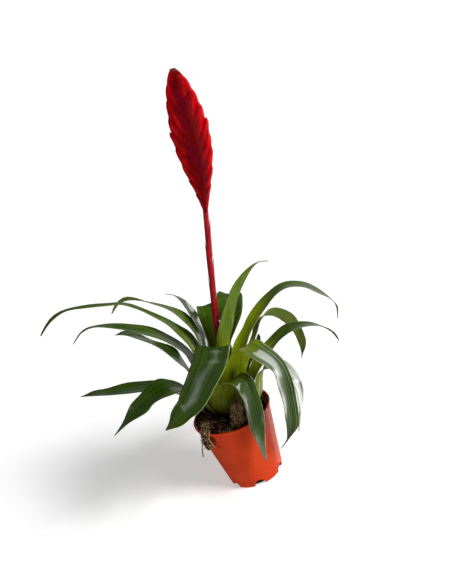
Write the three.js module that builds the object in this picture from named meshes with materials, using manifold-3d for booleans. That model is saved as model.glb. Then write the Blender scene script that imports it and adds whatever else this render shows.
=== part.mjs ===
// Flaming sword bromeliad in a small nursery pot.
// Millimetres, +Z up, origin at the centre of the pot's underside, front towards -Y.
import * as THREE from "three";
import { mergeVertices } from "three/addons/utils/BufferGeometryUtils.js";
import Module from "manifold-3d";

const wasm = await Module();
wasm.setup();

// ---- Driving dimensions -------------------------------------------------------------
const GAP = 0.3; // clearance between neighbouring pieces

const POT = {
  height: 52,
  rimRadius: 27.5,
  baseRadius: 19,
  wall: 0.9,
  floor: 1.1,
  lip: { width: 0.6, height: 1.6 },
  notches: { count: 6, width: 7.5, height: 4.6, depth: 3.6 },
  sides: 48,
};

const CROWN = { origin: [0, 2, 50], leanDeg: 11 }; // where the rosette's own axis stands

const SOIL = {
  belowRim: 1.6, // how far the mix lies below the rim at the wall
  moundTop: 4.9, // height of the mound above the crown's origin
  rings: 9,
  sectors: 40,
  roughness: 0.5,
  clump: { at: [7, -17], radius: 5.5, height: 6.5 },
};

const STALK = {
  stemRadius: 3,
  radius: 1.75,
  footDepth: 6,
  path: [[0, 0, -6], [0, 0, 14], [0, 0, 32], [0.3, 0, 57], [3.5, -2, 105], [6.8, -2, 143]],
  sides: 8,
  bracts: { count: 6, from: 0.4, to: 0.8, length: 0.17, radius: 2, lift: 0.2, steps: 5 },
};

const SWORD = {
  path: [[6.85, -2, 143.4], [7.4, -2, 160], [6.6, -2, 187], [4.6, -2, 212], [2.6, -2, 232]],
  length: 89,
  // half the flat spike's width at heights above its foot
  outline: [
    [0, 1.9], [14, 5.2], [30, 9.3], [45, 11.1], [58, 10.7], [70, 8.9], [80, 6.2], [86, 3.8], [89, 0.9],
  ],
  halfThickness: 3.2,
  coreEnd: 0.9, // how far up the spike its axis reaches
  bracts: { count: 14, firstTip: 21, length: 35, tuck: 0.5, flare: 1.1, nod: 0.3, steps: 8 },
};

const LEAF = {
  thickness: 0.8,
  tipThickness: 0.6,
  tipWidth: 0.9,
  opens: [0.14, 0.42], // where the clasping sheath opens into a channelled blade, along the leaf
  fullWidth: 14, // a blade this wide or wider is folded to its whole channel angle
  steps: 16,
  strips: 4,
};

// One row a leaf, innermost first. Each path point is [radius, azimuth, height, width, roll]:
// where the leaf's middle line passes about the crown's axis (azimuth 0 is +X and 270 the
// front), how wide the leaf is there and how far it is rolled about that line. `channel` is
// half the angle the blade is folded to.
const LEAVES = [
  { channel: 20, opens: [0.36, 0.6], path: [
    [4, 319, 5.5, 11, 0], [4.5, 319, 30, 11, 0], [6, 319, 53.5, 14, -20], [14, 327, 80.5, 9, -38],
    [23.5, 333, 97, 7, -48], [34.5, 338, 107, 4, -24], [42.5, 341, 107, 1.5, -37]
  ] },
  { channel: 22, opens: [0.42, 0.66], path: [
    [5.5, 66, 5.5, 10, 0], [8, 52, 46, 9.5, 0], [12, 42, 57, 12.5, 4], [17.5, 46, 66, 17.5, 8],
    [24, 55, 73, 18.5, 10], [30, 61, 74.5, 15, 10], [36, 63, 69, 9, 10]
  ] },
  { channel: 16, opens: [0.25, 0.4], path: [
    [6, 252, 5.5, 12, 0], [7, 252, 28, 13, 0], [11.5, 250, 55, 23, -2], [22, 245, 48.5, 24, -5],
    [35.5, 240, 40.5, 22.5, -5], [48, 236, 33, 19, -9], [53.5, 233, 30, 16, -12],
    [61.5, 232, 27.5, 10.5, -12], [70.5, 230, 27, 1.5, 0]
  ] },
  { channel: 22, opens: [0.46, 0.66], path: [
    [7, 102, 5.5, 10, 0], [9, 101, 42, 10, 0], [11, 104, 52, 9, 0], [18.5, 98, 68, 14.5, 0],
    [24, 98, 70.5, 12, 0], [30, 98, 67.5, 8, 0], [35, 98, 59.5, 1, 0]
  ] },
  { channel: 26, path: [
    [8, 124, 5.5, 12, 0], [11, 124, 42, 11, 6], [13, 126, 54, 10.5, 26], [21, 129, 70, 9.5, 18],
    [28, 132, 80, 6, 23], [33, 133, 82.5, 3.5, 25], [41, 134, 83, 1.5, 14]
  ] },
  { channel: 22, path: [
    [9.5, 146, 5.5, 13, 0], [13, 146, 42, 13, 4], [14.5, 147, 53, 13, 16],
    [17, 147, 61.5, 14.5, 16], [27, 148, 73.5, 12, 14], [42.5, 149, 80, 9.5, 26],
    [62, 149, 83.5, 8.5, 40], [70.5, 150, 80.5, 5.5, 25], [77.5, 150, 72.5, 1.5, 7]
  ] },
  { channel: 22, path: [
    [8.5, 20, 5.5, 14, 0], [11.5, 20, 36, 14, 0], [16.5, 20, 44.5, 16, -1],
    [22.5, 20, 52.5, 16, -10], [29, 20, 60, 16, -8], [45, 21, 71, 13.5, -8], [55, 21, 74, 12.5, -4],
    [66.5, 21, 71.5, 12, 8], [77.5, 21, 65, 11, 20], [96, 22, 46, 5.5, 16], [96, 22, 34.5, 1.5, 21]
  ] },
  { channel: 16, path: [
    [10.5, 164, 5.5, 16, 0], [19, 165, 54.5, 16.5, -3], [26.5, 165, 65, 13, 0],
    [34.5, 166, 73.5, 10, 7], [57.5, 166, 87.5, 7.5, 12], [69, 167, 89, 7, 4],
    [97, 167, 88.5, 6, 1], [108, 168, 84, 5, -17], [118.5, 168, 73, 2, -39]
  ] },
  { channel: 24, path: [
    [10, 36, 5.5, 10, 0], [12.5, 36, 20, 10, 0], [29, 38, 38, 8, -20], [34.5, 37, 44.5, 11.5, -32],
    [39.5, 38, 49.5, 12.5, -37], [48.5, 38, 52.5, 13.5, -37], [68.5, 39, 40.5, 13, -22],
    [80.5, 39, 19, 9, 0], [82.5, 40, 9.5, 5.5, 15], [80, 40, 1, 1.5, 47]
  ] },
  { channel: 24, path: [
    [11, 290, 5.5, 24, 0], [16.5, 290, 32, 25.5, 0], [19.5, 296, 44.5, 17.5, 0],
    [24.5, 301, 54, 15.5, 0], [30, 303, 57, 17, 0], [36, 305, 54.5, 17.5, 4],
    [44.5, 316, 40.5, 15.5, 9], [47.5, 319, 1.5, 12, 18], [46, 319, -6.5, 9.5, 20],
    [42.5, 319, -13.5, 3, 20], [35.5, 319, -23, 1, 10]
  ] },
  { channel: 20, path: [
    [12, 174, 5.5, 18, 0], [14.5, 174, 22, 18, 0], [21, 174, 44, 17.5, -2],
    [24.5, 174, 51.5, 16, 3], [39.5, 174, 65, 15.5, 1], [57, 174, 73.5, 11.5, -2],
    [77.5, 174, 78.5, 6.5, 9], [86.5, 174, 76.5, 4.5, -1], [95, 174, 68.5, 1.5, -9]
  ] },
  { channel: 22, path: [
    [12.5, 350, 5.5, 22, 0], [17, 352, 18, 23, 0], [24.5, 357, 32, 18.5, 0], [39, 6, 44, 15, -6],
    [51, 7, 49, 13.5, 2], [67, 7, 47, 10, -8], [79.5, 8, 37.5, 6, -10], [84, 8, 29, 1.5, -15]
  ] },
  { channel: 16, path: [
    [13, 188, 5.5, 20, 0], [20.5, 189, 29, 20, 0], [26, 192, 43.5, 19, -10],
    [30.5, 194, 52, 17, -21], [43.5, 196, 66.5, 13, -5], [59, 196, 79, 9.5, -7],
    [67.5, 197, 81.5, 1.5, 3]
  ] },
  { channel: 24, path: [
    [13.5, 45, 5.5, 8, 0], [17, 45, 16, 7.5, 0], [22, 38, 26, 8, 0], [26, 31, 32.5, 7.5, 0],
    [28.5, 24.5, 38.5, 6.5, 0], [31, 23, 45.5, 5, 0], [31, 23, 47.5, 2, 0]
  ] },
  { channel: 22, path: [
    [14, 246, 5.5, 15, 0], [18, 246, 13, 21, 0], [21, 253, 23, 23.5, 0], [24.5, 265, 33.5, 22, 0],
    [29, 277, 37.5, 18.5, -2], [33, 284, 36.5, 16, -6], [35.5, 288, 27.5, 13.5, -11],
    [39, 288, 14.5, 13, -10], [39.5, 288, 7, 12, -12], [42.5, 288, -10.5, 5.5, -26],
    [44.5, 288, -19, 1, -30]
  ] },
  { channel: 24, path: [
    [15.5, 333, 5.5, 22, 0], [22.5, 335, 12, 24, 0], [24.5, 334, 23, 20, 0], [29, 333, 34, 14, 0],
    [39.5, 334, 35, 12.5, 6], [48, 336, 22, 13, 8], [48.5, 337, 5, 11.5, 8], [46, 338, -10, 5.5, 8],
    [44.5, 338, -17.5, 1, 8]
  ] },
  { channel: 18, path: [
    [15.5, 210, 5.5, 10.5, 0], [26.5, 213, 23.5, 13.5, 0], [32.5, 211, 32, 15, -10],
    [40, 211, 37.5, 16.5, -14], [48, 212, 40.5, 19.5, -15], [64, 213, 39, 16, -4],
    [72, 214, 36.5, 15, -2], [86, 215, 33, 7, 22], [94, 216, 31.5, 1.5, 26]
  ] },
  { channel: 20, path: [
    [17.5, 194, 5.5, 14, 0], [23.5, 195, 12, 14, 0], [33.5, 196, 27.5, 16, -8],
    [43, 196, 34, 16.5, -7], [61.5, 196, 40.5, 15.5, -5], [80, 197, 45, 11.5, -3],
    [88.5, 197, 47.5, 8, -1], [97.5, 197, 49, 1.5, 10]
  ] },
  { channel: 24, path: [
    [15.5, 89, 4.9, 20, 0], [28, 89, 18, 18.5, 0], [39, 89, 21, 16, 0], [49, 89, 18, 16, 0],
    [57, 89, 10, 12, 0], [63, 89, -1, 1, 0]
  ] },
  { channel: 24, path: [
    [17.5, 127, 5.5, 16, 0], [29, 127, 12, 15.5, 0], [37, 127, 12, 15, 0], [44, 127, 7, 13, 0],
    [48, 127, -2, 1, 0]
  ] },
];

const COLOURS = {
  pot: { color: 0xb5452a, roughness: 0.5, metalness: 0 },
  soil: { color: 0x2a1d15, roughness: 0.95, metalness: 0 },
  leaf: { color: 0x2f4f1e, roughness: 0.35, metalness: 0 },
  stalk: { color: 0xa01028, roughness: 0.4, metalness: 0 },
  sword: { color: 0xc00816, roughness: 0.35, metalness: 0 },
};

// ---- Helpers ------------------------------------------------------------------------
const rad = THREE.MathUtils.degToRad;
const { lerp, smoothstep, clamp } = THREE.MathUtils;
const vec = (x, y, z) => new THREE.Vector3(x, y, z);
const polar = (radius, angle, z, centre = [0, 0]) =>
  vec(centre[0] + radius * Math.cos(angle), centre[1] + radius * Math.sin(angle), z);

function indexed(points, index) {
  const geometry = new THREE.BufferGeometry();
  geometry.setAttribute("position", new THREE.Float32BufferAttribute(points.flatMap((p) => p.toArray()), 3));
  geometry.setIndex(index);
  return geometry;
}

// A closed body through rings of equally many points, each ring anticlockwise seen from
// the end of the stack; both ends are closed by a fan about their middle.
function loft(rings) {
  const n = rings[0].length;
  const points = rings.flat();
  const index = [];
  for (let i = 0; i + 1 < rings.length; i++)
    for (let j = 0; j < n; j++) {
      const [a, b] = [i * n + j, i * n + ((j + 1) % n)];
      index.push(a, b, b + n, a, b + n, a + n);
    }
  const cap = (ring, start, turn) => {
    const middle = ring.reduce((sum, p) => sum.add(p), vec(0, 0, 0)).divideScalar(n);
    points.push(middle);
    for (let j = 0; j < n; j++) {
      const [a, b] = [start + j, start + ((j + 1) % n)];
      index.push(points.length - 1, turn ? b : a, turn ? a : b);
    }
  };
  cap(rings[0], 0, true);
  cap(rings.at(-1), (rings.length - 1) * n, false);
  return indexed(points, index);
}

// A closed plate between two matching grids of points, split alike on both faces.
function plate(upper, lower) {
  const rows = upper.length;
  const cols = upper[0].length;
  const top = (i, j) => i * cols + j;
  const low = (i, j) => (rows + i) * cols + j;
  const index = [];
  const quad = (a, b, c, d) => index.push(a, b, c, a, c, d);
  for (let i = 0; i + 1 < rows; i++) {
    for (let j = 0; j + 1 < cols; j++) {
      quad(top(i, j), top(i + 1, j), top(i + 1, j + 1), top(i, j + 1));
      quad(low(i, j), low(i, j + 1), low(i + 1, j + 1), low(i + 1, j));
    }
    quad(top(i + 1, 0), top(i, 0), low(i, 0), low(i + 1, 0));
    quad(top(i, cols - 1), top(i + 1, cols - 1), low(i + 1, cols - 1), low(i, cols - 1));
  }
  for (let j = 0; j + 1 < cols; j++) {
    quad(top(0, j), top(0, j + 1), low(0, j + 1), low(0, j));
    quad(top(rows - 1, j + 1), top(rows - 1, j), low(rows - 1, j), low(rows - 1, j + 1));
  }
  return indexed([...upper.flat(), ...lower.flat()], index);
}

function solidOf(geometry) {
  const bare = geometry.clone();
  bare.deleteAttribute("normal");
  bare.deleteAttribute("uv");
  const merged = mergeVertices(bare, 1e-4);
  const mesh = new wasm.Mesh({
    numProp: 3,
    vertProperties: merged.attributes.position.array,
    triVerts: new Uint32Array(merged.index.array),
  });
  return new wasm.Manifold(mesh);
}

function geometryOf(solid) {
  const { vertProperties, triVerts } = solid.getMesh();
  const geometry = new THREE.BufferGeometry();
  geometry.setAttribute("position", new THREE.BufferAttribute(new Float32Array(vertProperties), 3));
  geometry.setIndex(new THREE.BufferAttribute(new Uint32Array(triVerts), 1));
  return geometry;
}

function piece(name, geometry, look) {
  const mesh = new THREE.Mesh(geometry, new THREE.MeshStandardMaterial(look));
  mesh.name = name;
  return mesh;
}

const circle = (radius, z, sides, centre) =>
  Array.from({ length: sides }, (_, k) => polar(radius, (2 * Math.PI * k) / sides, z, centre));

// ---- Pot ----------------------------------------------------------------------------
const outerRadius = (z) => lerp(POT.baseRadius, POT.rimRadius - POT.lip.width, z / POT.height);
const innerRadius = (z) => outerRadius(z) - POT.wall;

function notchCutter(angle) {
  const { width, height, depth } = POT.notches;
  const arch = new THREE.Shape();
  arch.moveTo(-width / 2, -1);
  arch.lineTo(width / 2, -1);
  arch.lineTo(width / 2, height - width / 2);
  arch.absarc(0, height - width / 2, width / 2, 0, Math.PI, false);
  arch.closePath();
  const cutter = new THREE.ExtrudeGeometry(arch, {
    depth: depth + 4, bevelEnabled: false, curveSegments: 8,
  });
  cutter.rotateX(Math.PI / 2); // the arch now stands up and runs along -Y
  cutter.translate(0, -(POT.baseRadius - depth) , 0);
  return solidOf(cutter.rotateZ(angle));
}

function makePot() {
  const { height, rimRadius, floor, lip, sides } = POT;
  const ring = (radius, z) => circle(radius, z, sides);
  const shell = loft([
    ring(POT.baseRadius, 0),
    ring(outerRadius(height - lip.height), height - lip.height),
    ring(rimRadius, height - lip.height + lip.width),
    ring(rimRadius, height),
    ring(innerRadius(height), height),
    ring(innerRadius(floor), floor),
  ]);
  let pot = solidOf(shell);
  for (let k = 0; k < POT.notches.count; k++)
    pot = pot.subtract(notchCutter((2 * Math.PI * (k + 0.5)) / POT.notches.count));
  return piece("pot", geometryOf(pot), COLOURS.pot);
}

// ---- Potting mix --------------------------------------------------------------------
const lean = rad(CROWN.leanDeg);
const crownPoint = (height) => [
  CROWN.origin[0] + height * Math.sin(lean), CROWN.origin[1], CROWN.origin[2] + height * Math.cos(lean),
];

// Height of the mix's surface at (x, y); f runs from 0 at the pot's wall to 1 at the stem.
function soilHeight(x, y, f) {
  const { belowRim, moundTop, roughness, clump } = SOIL;
  const top = CROWN.origin[2] + moundTop * Math.cos(lean) - (x - CROWN.origin[0]) * Math.tan(lean);
  const edge = POT.height - belowRim;
  const waves = Math.sin(1.7 * x + 0.6 * y) + Math.sin(1.3 * y - 0.9 * x + 1) + Math.sin(0.7 * x + 2.1 * y);
  const rough = roughness * waves;
  const slope = smoothstep(f, 0, 0.45);
  const away = Math.hypot(x - clump.at[0], y - clump.at[1]) / clump.radius;
  return lerp(edge, top, slope) + rough * (1 - slope) + clump.height * Math.exp(-away * away) * (1 - slope);
}

function makeSoil() {
  const { rings, sectors } = SOIL;
  const hole = STALK.stemRadius + GAP;
  const [holeX, holeY] = crownPoint(SOIL.moundTop);
  const edgeZ = POT.height - SOIL.belowRim;
  const wall = (z) => circle(innerRadius(z) - GAP, z, sectors);
  const surface = Array.from({ length: rings }, (_, i) => {
    const f = (i + 0.4) / (rings - 0.6);
    const rim = innerRadius(edgeZ) - GAP;
    const centre = [lerp(0, holeX, f), lerp(0, holeY, f)];
    const ring = circle(lerp(rim, hole, Math.min(f, 1)), 0, sectors, centre);
    return ring.map((p) => vec(p.x, p.y, soilHeight(p.x, p.y, f)));
  });
  const foot = crownPoint(-STALK.footDepth - 1);
  const socket = circle(hole, foot[2], sectors, foot);
  return piece("potting_mix", loft([wall(POT.floor + GAP), wall(edgeZ), ...surface, socket]), COLOURS.soil);
}

// ---- Leaves -------------------------------------------------------------------------
const UP = vec(0, 0, 1);

// Position, width, side and upper-face normal along a leaf's line.
function leafFrames(path) {
  const curve = new THREE.CatmullRomCurve3(path.map(([r, azimuth, z]) => polar(r, rad(azimuth), z)));
  const shape = new THREE.SplineCurve(path.map(([, , , width, roll]) => new THREE.Vector2(width, roll)));
  return Array.from({ length: LEAF.steps + 1 }, (_, i) => {
    const t = i / LEAF.steps;
    const at = curve.getPointAt(t);
    const along = curve.getTangentAt(t);
    const { x: width, y: roll } = shape.getPoint(curve.getUtoTmapping(t));
    const outward = vec(at.x, at.y, 0).normalize();
    const side = UP.clone().cross(outward.add(along));
    side.addScaledVector(along, -side.dot(along)).normalize();
    side.applyAxisAngle(along, rad(roll));
    const normal = along.clone().cross(side);
    return { t, at, width: Math.max(width, LEAF.tipWidth), side, normal, reach: Math.hypot(at.x, at.y) };
  });
}

function makeLeaf(leaf, name) {
  const upper = [];
  const lower = [];
  for (const { t, at, width, side, normal, reach } of leafFrames(leaf.path)) {
    const open = smoothstep(t, ...(leaf.opens ?? LEAF.opens));
    const clasping = width / 2 / reach;
    const channelled = rad(leaf.channel) * clamp(width / LEAF.fullWidth, 0.3, 1);
    const half = clamp(lerp(clasping, channelled, open), 0.02, 1.2);
    const bend = width / 2 / half;
    const thick = lerp(LEAF.thickness, LEAF.tipThickness, smoothstep(t, 0.7, 1)) / 2;
    const across = Array.from({ length: LEAF.strips + 1 }, (_, j) => {
      const angle = half * ((2 * j) / LEAF.strips - 1);
      const point = at.clone().addScaledVector(side, bend * Math.sin(angle));
      point.addScaledVector(normal, bend * (1 - Math.cos(angle)));
      const face = normal.clone().multiplyScalar(Math.cos(angle)).addScaledVector(side, -Math.sin(angle));
      return { point, face };
    });
    upper.push(across.map(({ point, face }) => point.clone().addScaledVector(face, thick)));
    lower.push(across.map(({ point, face }) => point.clone().addScaledVector(face, -thick)));
  }
  return piece(name, plate(upper, lower), COLOURS.leaf);
}

// ---- Flower stalk and sword ---------------------------------------------------------
// Rings square to a stretch of a curve; `section(t)` gives one as [sideways, forwards] offsets.
function sweep(points, steps, section, from = 0, to = 1) {
  const curve = new THREE.CatmullRomCurve3(points.map((p) => vec(...p)));
  return Array.from({ length: steps + 1 }, (_, i) => {
    const t = lerp(from, to, i / steps);
    const at = curve.getPointAt(t);
    const along = curve.getTangentAt(t);
    const forward = vec(0, 1, 0).addScaledVector(along, -along.y).normalize();
    const side = forward.clone().cross(along);
    return section(t).map(([u, v]) => at.clone().addScaledVector(side, u).addScaledVector(forward, v));
  });
}

const oval = (a, b, sides, offset = 0) =>
  Array.from({ length: sides }, (_, k) => {
    const angle = (2 * Math.PI * k) / sides;
    return [offset + a * Math.cos(angle), b * Math.sin(angle)];
  });

// A bract clasps the stalk and ends in a point on one side of it.
function stalkBract(k) {
  const { count, from, to, length, radius, lift, steps } = STALK.bracts;
  const start = lerp(from, to, k / (count - 1));
  const hand = k % 2 ? 1 : -1;
  const section = (t) => {
    const v = (t - start) / length;
    const point = smoothstep(v, 0.5, 1);
    const r = lerp(STALK.radius - 0.2, radius, smoothstep(v, 0, 0.4)) * (1 - 0.86 * point);
    return oval(r, r, STALK.sides, hand * point * (radius - r + lift));
  };
  return solidOf(loft(sweep(STALK.path, steps, section, start, start + length)));
}

function makeStalk() {
  const { radius, stemRadius, path, sides, bracts } = STALK;
  const round = (t) => lerp(stemRadius, radius, smoothstep(t, 0.12, 0.26));
  let stalk = solidOf(loft(sweep(path, 18, (t) => oval(round(t), round(t), sides))));
  for (let k = 0; k < bracts.count; k++) stalk = stalk.add(stalkBract(k));
  return piece("flower_stalk", geometryOf(stalk), COLOURS.stalk);
}

const swordOutline = new THREE.SplineCurve(SWORD.outline.map(([x, y]) => new THREE.Vector2(x, y)));
const swordProfile = swordOutline.getSpacedPoints(120);

// Half the spike's width at a height above its foot, and half its thickness there.
function halfWidthAt(height) {
  const i = clamp(swordProfile.findIndex((p) => p.x >= height), 1, swordProfile.length - 1);
  const [a, b] = [swordProfile[i - 1], swordProfile[i]];
  return lerp(a.y, b.y, clamp((height - a.x) / (b.x - a.x), 0, 1));
}
const halfThicknessAt = (height) => 1.2 + (SWORD.halfThickness - 1.2) * (halfWidthAt(height) / 11);

// One boat-shaped bract: its keel is the spike's edge, its flanks reach past the middle
// and draw back to a point that stands a little clear of the bract above it.
function swordBract(k) {
  const { count, firstTip, length, tuck, flare, nod, steps } = SWORD.bracts;
  const tip = lerp(firstTip, SWORD.length, Math.pow(k / (count - 1), 0.86));
  const root = Math.max(tip - length, 0);
  const hand = k % 2 ? 1 : -1;
  const wrap = smoothstep(k, count - 3, count - 1); // the topmost bracts close round the tip
  const section = (t) => {
    const v = (t * SWORD.length - root) / (tip - root);
    const edge = halfWidthAt(t * SWORD.length);
    const bulge = (flare * v * v - nod * smoothstep(v, 0.85, 1)) * (1 - wrap);
    const keel = lerp(1.2, edge - tuck * (1 - wrap), smoothstep(v, 0, 0.45)) + bulge;
    const open = lerp(-0.3 * edge, keel - 0.5, smoothstep(v, 0.3, 1));
    const inner = lerp(open, -0.9 * edge, wrap);
    const closing = 1 - 0.85 * smoothstep(v, 0.8, 1);
    const deep = halfThicknessAt(t * SWORD.length) * (0.78 + 0.24 * v) * closing;
    const flank = [[1, 0], [0.7, 0.62], [0.35, 0.92], [0, 1]];
    const front = flank.map(([f, y]) => [hand * lerp(inner, keel, f), y * deep]);
    const back = flank.slice(1).reverse().map(([f, y]) => [hand * lerp(inner, keel, f), -y * deep]);
    const ring = [...front, ...back];
    return hand > 0 ? ring : ring.reverse();
  };
  return solidOf(loft(sweep(SWORD.path, steps, section, root / SWORD.length, tip / SWORD.length)));
}

function makeSword() {
  const core = (t) => {
    const height = t * SWORD.length;
    return oval(0.4 * halfWidthAt(height) + 1.1, 0.5 * halfThicknessAt(height) + 1, 8);
  };
  let sword = solidOf(loft(sweep(SWORD.path, 9, core, 0, SWORD.coreEnd)));
  for (let k = 0; k < SWORD.bracts.count; k++) sword = sword.add(swordBract(k));
  return piece("flower_sword", geometryOf(sword), COLOURS.sword);
}

// ---- Assembly -----------------------------------------------------------------------
const crown = new THREE.Group();
crown.position.set(...CROWN.origin);
crown.rotation.y = lean;
LEAVES.forEach((leaf, i) => crown.add(makeLeaf(leaf, `leaf_${String(i + 1).padStart(2, "0")}`)));
crown.add(makeStalk(), makeSword());

const group = new THREE.Group();
group.add(makePot(), makeSoil(), crown);
export default group;
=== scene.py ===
import math
from functools import partialmethod

import bmesh
import bpy
import numpy as np
from mathutils import Matrix, Vector, noise


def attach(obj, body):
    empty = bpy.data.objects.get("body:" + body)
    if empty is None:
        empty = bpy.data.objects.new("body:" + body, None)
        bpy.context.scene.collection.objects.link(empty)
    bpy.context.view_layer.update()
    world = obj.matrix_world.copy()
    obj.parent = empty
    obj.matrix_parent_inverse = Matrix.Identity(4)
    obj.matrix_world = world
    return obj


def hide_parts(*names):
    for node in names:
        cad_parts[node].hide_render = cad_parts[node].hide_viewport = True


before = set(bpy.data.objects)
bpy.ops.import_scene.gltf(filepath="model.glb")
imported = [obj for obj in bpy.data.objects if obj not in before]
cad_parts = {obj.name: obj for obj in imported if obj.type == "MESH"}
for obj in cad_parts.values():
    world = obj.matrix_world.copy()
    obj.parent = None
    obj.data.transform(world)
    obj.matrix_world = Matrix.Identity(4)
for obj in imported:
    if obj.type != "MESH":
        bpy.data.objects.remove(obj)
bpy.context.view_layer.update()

# A flaming sword bromeliad in its nursery pot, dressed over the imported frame.
# The tables are in millimetres and degrees, as a grower measures; MM turns them into metres.
MM = 0.001
BODY = "root"


def placed(name, data):
    """A new object in the scene."""
    thing = bpy.data.objects.new(name, data)
    bpy.context.scene.collection.objects.link(thing)
    return thing


# ---- Camera
CAMERA = {
    "target": (27, 0, 134),
    "distance": 560,
    "elevation": 22,
    "roll": 22,  # about the line of sight, so that the pot's top leans to the left
    "focal": 866,  # in pixels of an image that is IMAGE_HEIGHT of them high
}
IMAGE_HEIGHT = 584
SENSOR = 36
NEAREST = 0.01


def place_camera():
    """The camera looks down at the plant from the front, turned about its own line of sight."""
    elevation = math.radians(CAMERA["elevation"])
    roll = math.radians(CAMERA["roll"])
    right = Vector((1, 0, 0))
    back = Vector((0, -math.cos(elevation), math.sin(elevation)))
    up = back.cross(right)
    turned_right = right * math.cos(roll) - up * math.sin(roll)
    turned_up = right * math.sin(roll) + up * math.cos(roll)
    data = bpy.data.cameras.new("camera")
    data.lens = CAMERA["focal"] / IMAGE_HEIGHT * SENSOR
    data.sensor_width = SENSOR
    data.clip_start = NEAREST
    camera = placed("camera", data)
    turn = Matrix((turned_right, turned_up, back)).transposed().to_4x4()
    place = (Vector(CAMERA["target"]) + back * CAMERA["distance"]) * MM
    camera.matrix_world = Matrix.Translation(place) @ turn
    bpy.context.scene.camera = camera


place_camera()


# ---- Node trees
def socket_of(sockets, key):
    """The socket at a place in the list, or the first one in use with that name."""
    if isinstance(key, int):
        return sockets[key]
    return next(s for s in sockets if s.name == key and s.enabled)


class Wire:
    """An output of a node. Sums and products of wires and numbers add Math nodes."""

    def __init__(self, graph, socket):
        self.graph = graph
        self.socket = socket

    def math(self, operation, *others):
        return self.graph.node("ShaderNodeMath", self, *others, operation=operation)

    __add__ = __radd__ = partialmethod(math, "ADD")
    __mul__ = partialmethod(math, "MULTIPLY")
    __sub__ = partialmethod(math, "SUBTRACT")
    __truediv__ = partialmethod(math, "DIVIDE")
    __pow__ = partialmethod(math, "POWER")
    __abs__ = partialmethod(math, "ABSOLUTE")

    def __rsub__(self, other):
        return self * -1 + other

    def ramp(self, low, high):
        """0 at low, 1 at high, smooth in between."""
        smooth = {"interpolation_type": "SMOOTHSTEP", "From_Min": low, "From_Max": high}
        return self.graph.node("ShaderNodeMapRange", Value=self, **smooth)

    def between(self, start, end):
        """From start to end as the wire goes from 0 to 1."""
        return start + self * (end - start)

    def other(self, name):
        """Another output of the same node."""
        return Wire(self.graph, socket_of(self.socket.node.outputs, name))


def paint(colour):
    """A screen colour of three numbers up to 255, as linear light. Anything else stays."""
    if isinstance(colour, Wire) or len(colour) == 4:
        return colour
    linear = [((c / 255 + 0.055) / 1.055) ** 2.4 if c > 10 else c / 255 / 12.92 for c in colour]
    return (*linear, 1)


class Graph:
    """A node tree that is written as expressions."""

    def __init__(self, tree):
        self.tree = tree
        tree.nodes.clear()

    def node(self, kind, *inputs, output=0, **named):
        """A node, with inputs by their place or capital name, and settings by theirs."""
        made = self.tree.nodes.new(kind)
        sockets = dict(enumerate(inputs))
        for name, value in named.items():
            if name[0].isupper():
                sockets[name.replace("_", " ")] = value
            else:
                setattr(made, name, value)
        for key, value in sockets.items():
            socket = socket_of(made.inputs, key)
            if isinstance(value, Wire):
                self.tree.links.new(value.socket, socket)
            else:
                socket.default_value = value
        return Wire(self, socket_of(made.outputs, output)) if made.outputs else made

    def geo(self, kind, *inputs, **named):
        return self.node("GeometryNode" + kind, *inputs, **named)

    def curve(self, points, value, longest, low, high):
        """A height read off a drawn line of (distance, height) points, at a share of the longest."""
        made = self.node("ShaderNodeFloatCurve", Value=value)
        mapping = made.socket.node.mapping
        line = mapping.curves[0].points
        while len(line) < len(points):
            line.new(1, 0)
        for point, (distance, height) in zip(line, points):
            point.location = (distance / longest, (height - low) / (high - low))
        mapping.update()
        return made * (high - low) + low

    def blend(self, factor, first, second):
        """Colour first where the factor is 0, second where it is 1."""
        sockets = {"Factor": factor, "A": paint(first), "B": paint(second)}
        return self.node("ShaderNodeMix", output="Result", data_type="RGBA", **sockets)

    def layered(self, colour, *layers):
        """A colour with others laid over it, one after another, each with its factor."""
        for factor, over in layers:
            colour = self.blend(factor, colour, over)
        return colour

    def vector(self, operation, *values):
        return self.node("ShaderNodeVectorMath", *values, operation=operation)

    def scaled(self, direction, amount):
        sockets = {"Vector": direction, "Scale": amount}
        return self.node("ShaderNodeVectorMath", operation="SCALE", **sockets)

    def xyz(self, x, y, z):
        return self.node("ShaderNodeCombineXYZ", x, y, z)

    def parts(self, vector):
        """The X of a vector; its other parts are other outputs of the same node."""
        return self.node("ShaderNodeSeparateXYZ", vector)


def geometry_tree(name, **inputs):
    """A Geometry Nodes tree with a geometry in and out, a material, and the named inputs."""
    tree = bpy.data.node_groups.new(name, "GeometryNodeTree")
    tree.interface.new_socket("Geometry", in_out="OUTPUT", socket_type="NodeSocketGeometry")
    for label, kind in {"Geometry": "Geometry", **inputs, "Material": "Material"}.items():
        tree.interface.new_socket(label, in_out="INPUT", socket_type="NodeSocket" + kind)
    graph = Graph(tree)
    graph.given = graph.node("NodeGroupInput").other
    return graph


def finish_tree(graph, geometry):
    """Every tree ends alike: real geometry, shaded smooth, in the given material."""
    smooth = graph.geo("SetShadeSmooth", Geometry=geometry, Shade_Smooth=True)
    real = graph.geo("RealizeInstances", smooth)
    painted = graph.geo("SetMaterial", Geometry=real, Material=graph.given("Material"))
    graph.node("NodeGroupOutput", painted)
    return graph.tree


def attribute(graph, name, kind="FLOAT"):
    return graph.geo("InputNamedAttribute", Name=name, data_type=kind)


def store(graph, geometry, name, value, kind="FLOAT", domain="POINT"):
    sockets = {"Geometry": geometry, "Name": name, "Value": value}
    return graph.geo("StoreNamedAttribute", data_type=kind, domain=domain, **sockets)


def moved(graph, geometry, **to):
    """Geometry with its points at a new Position, or shifted by an Offset."""
    return graph.geo("SetPosition", Geometry=geometry, **to)


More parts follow.
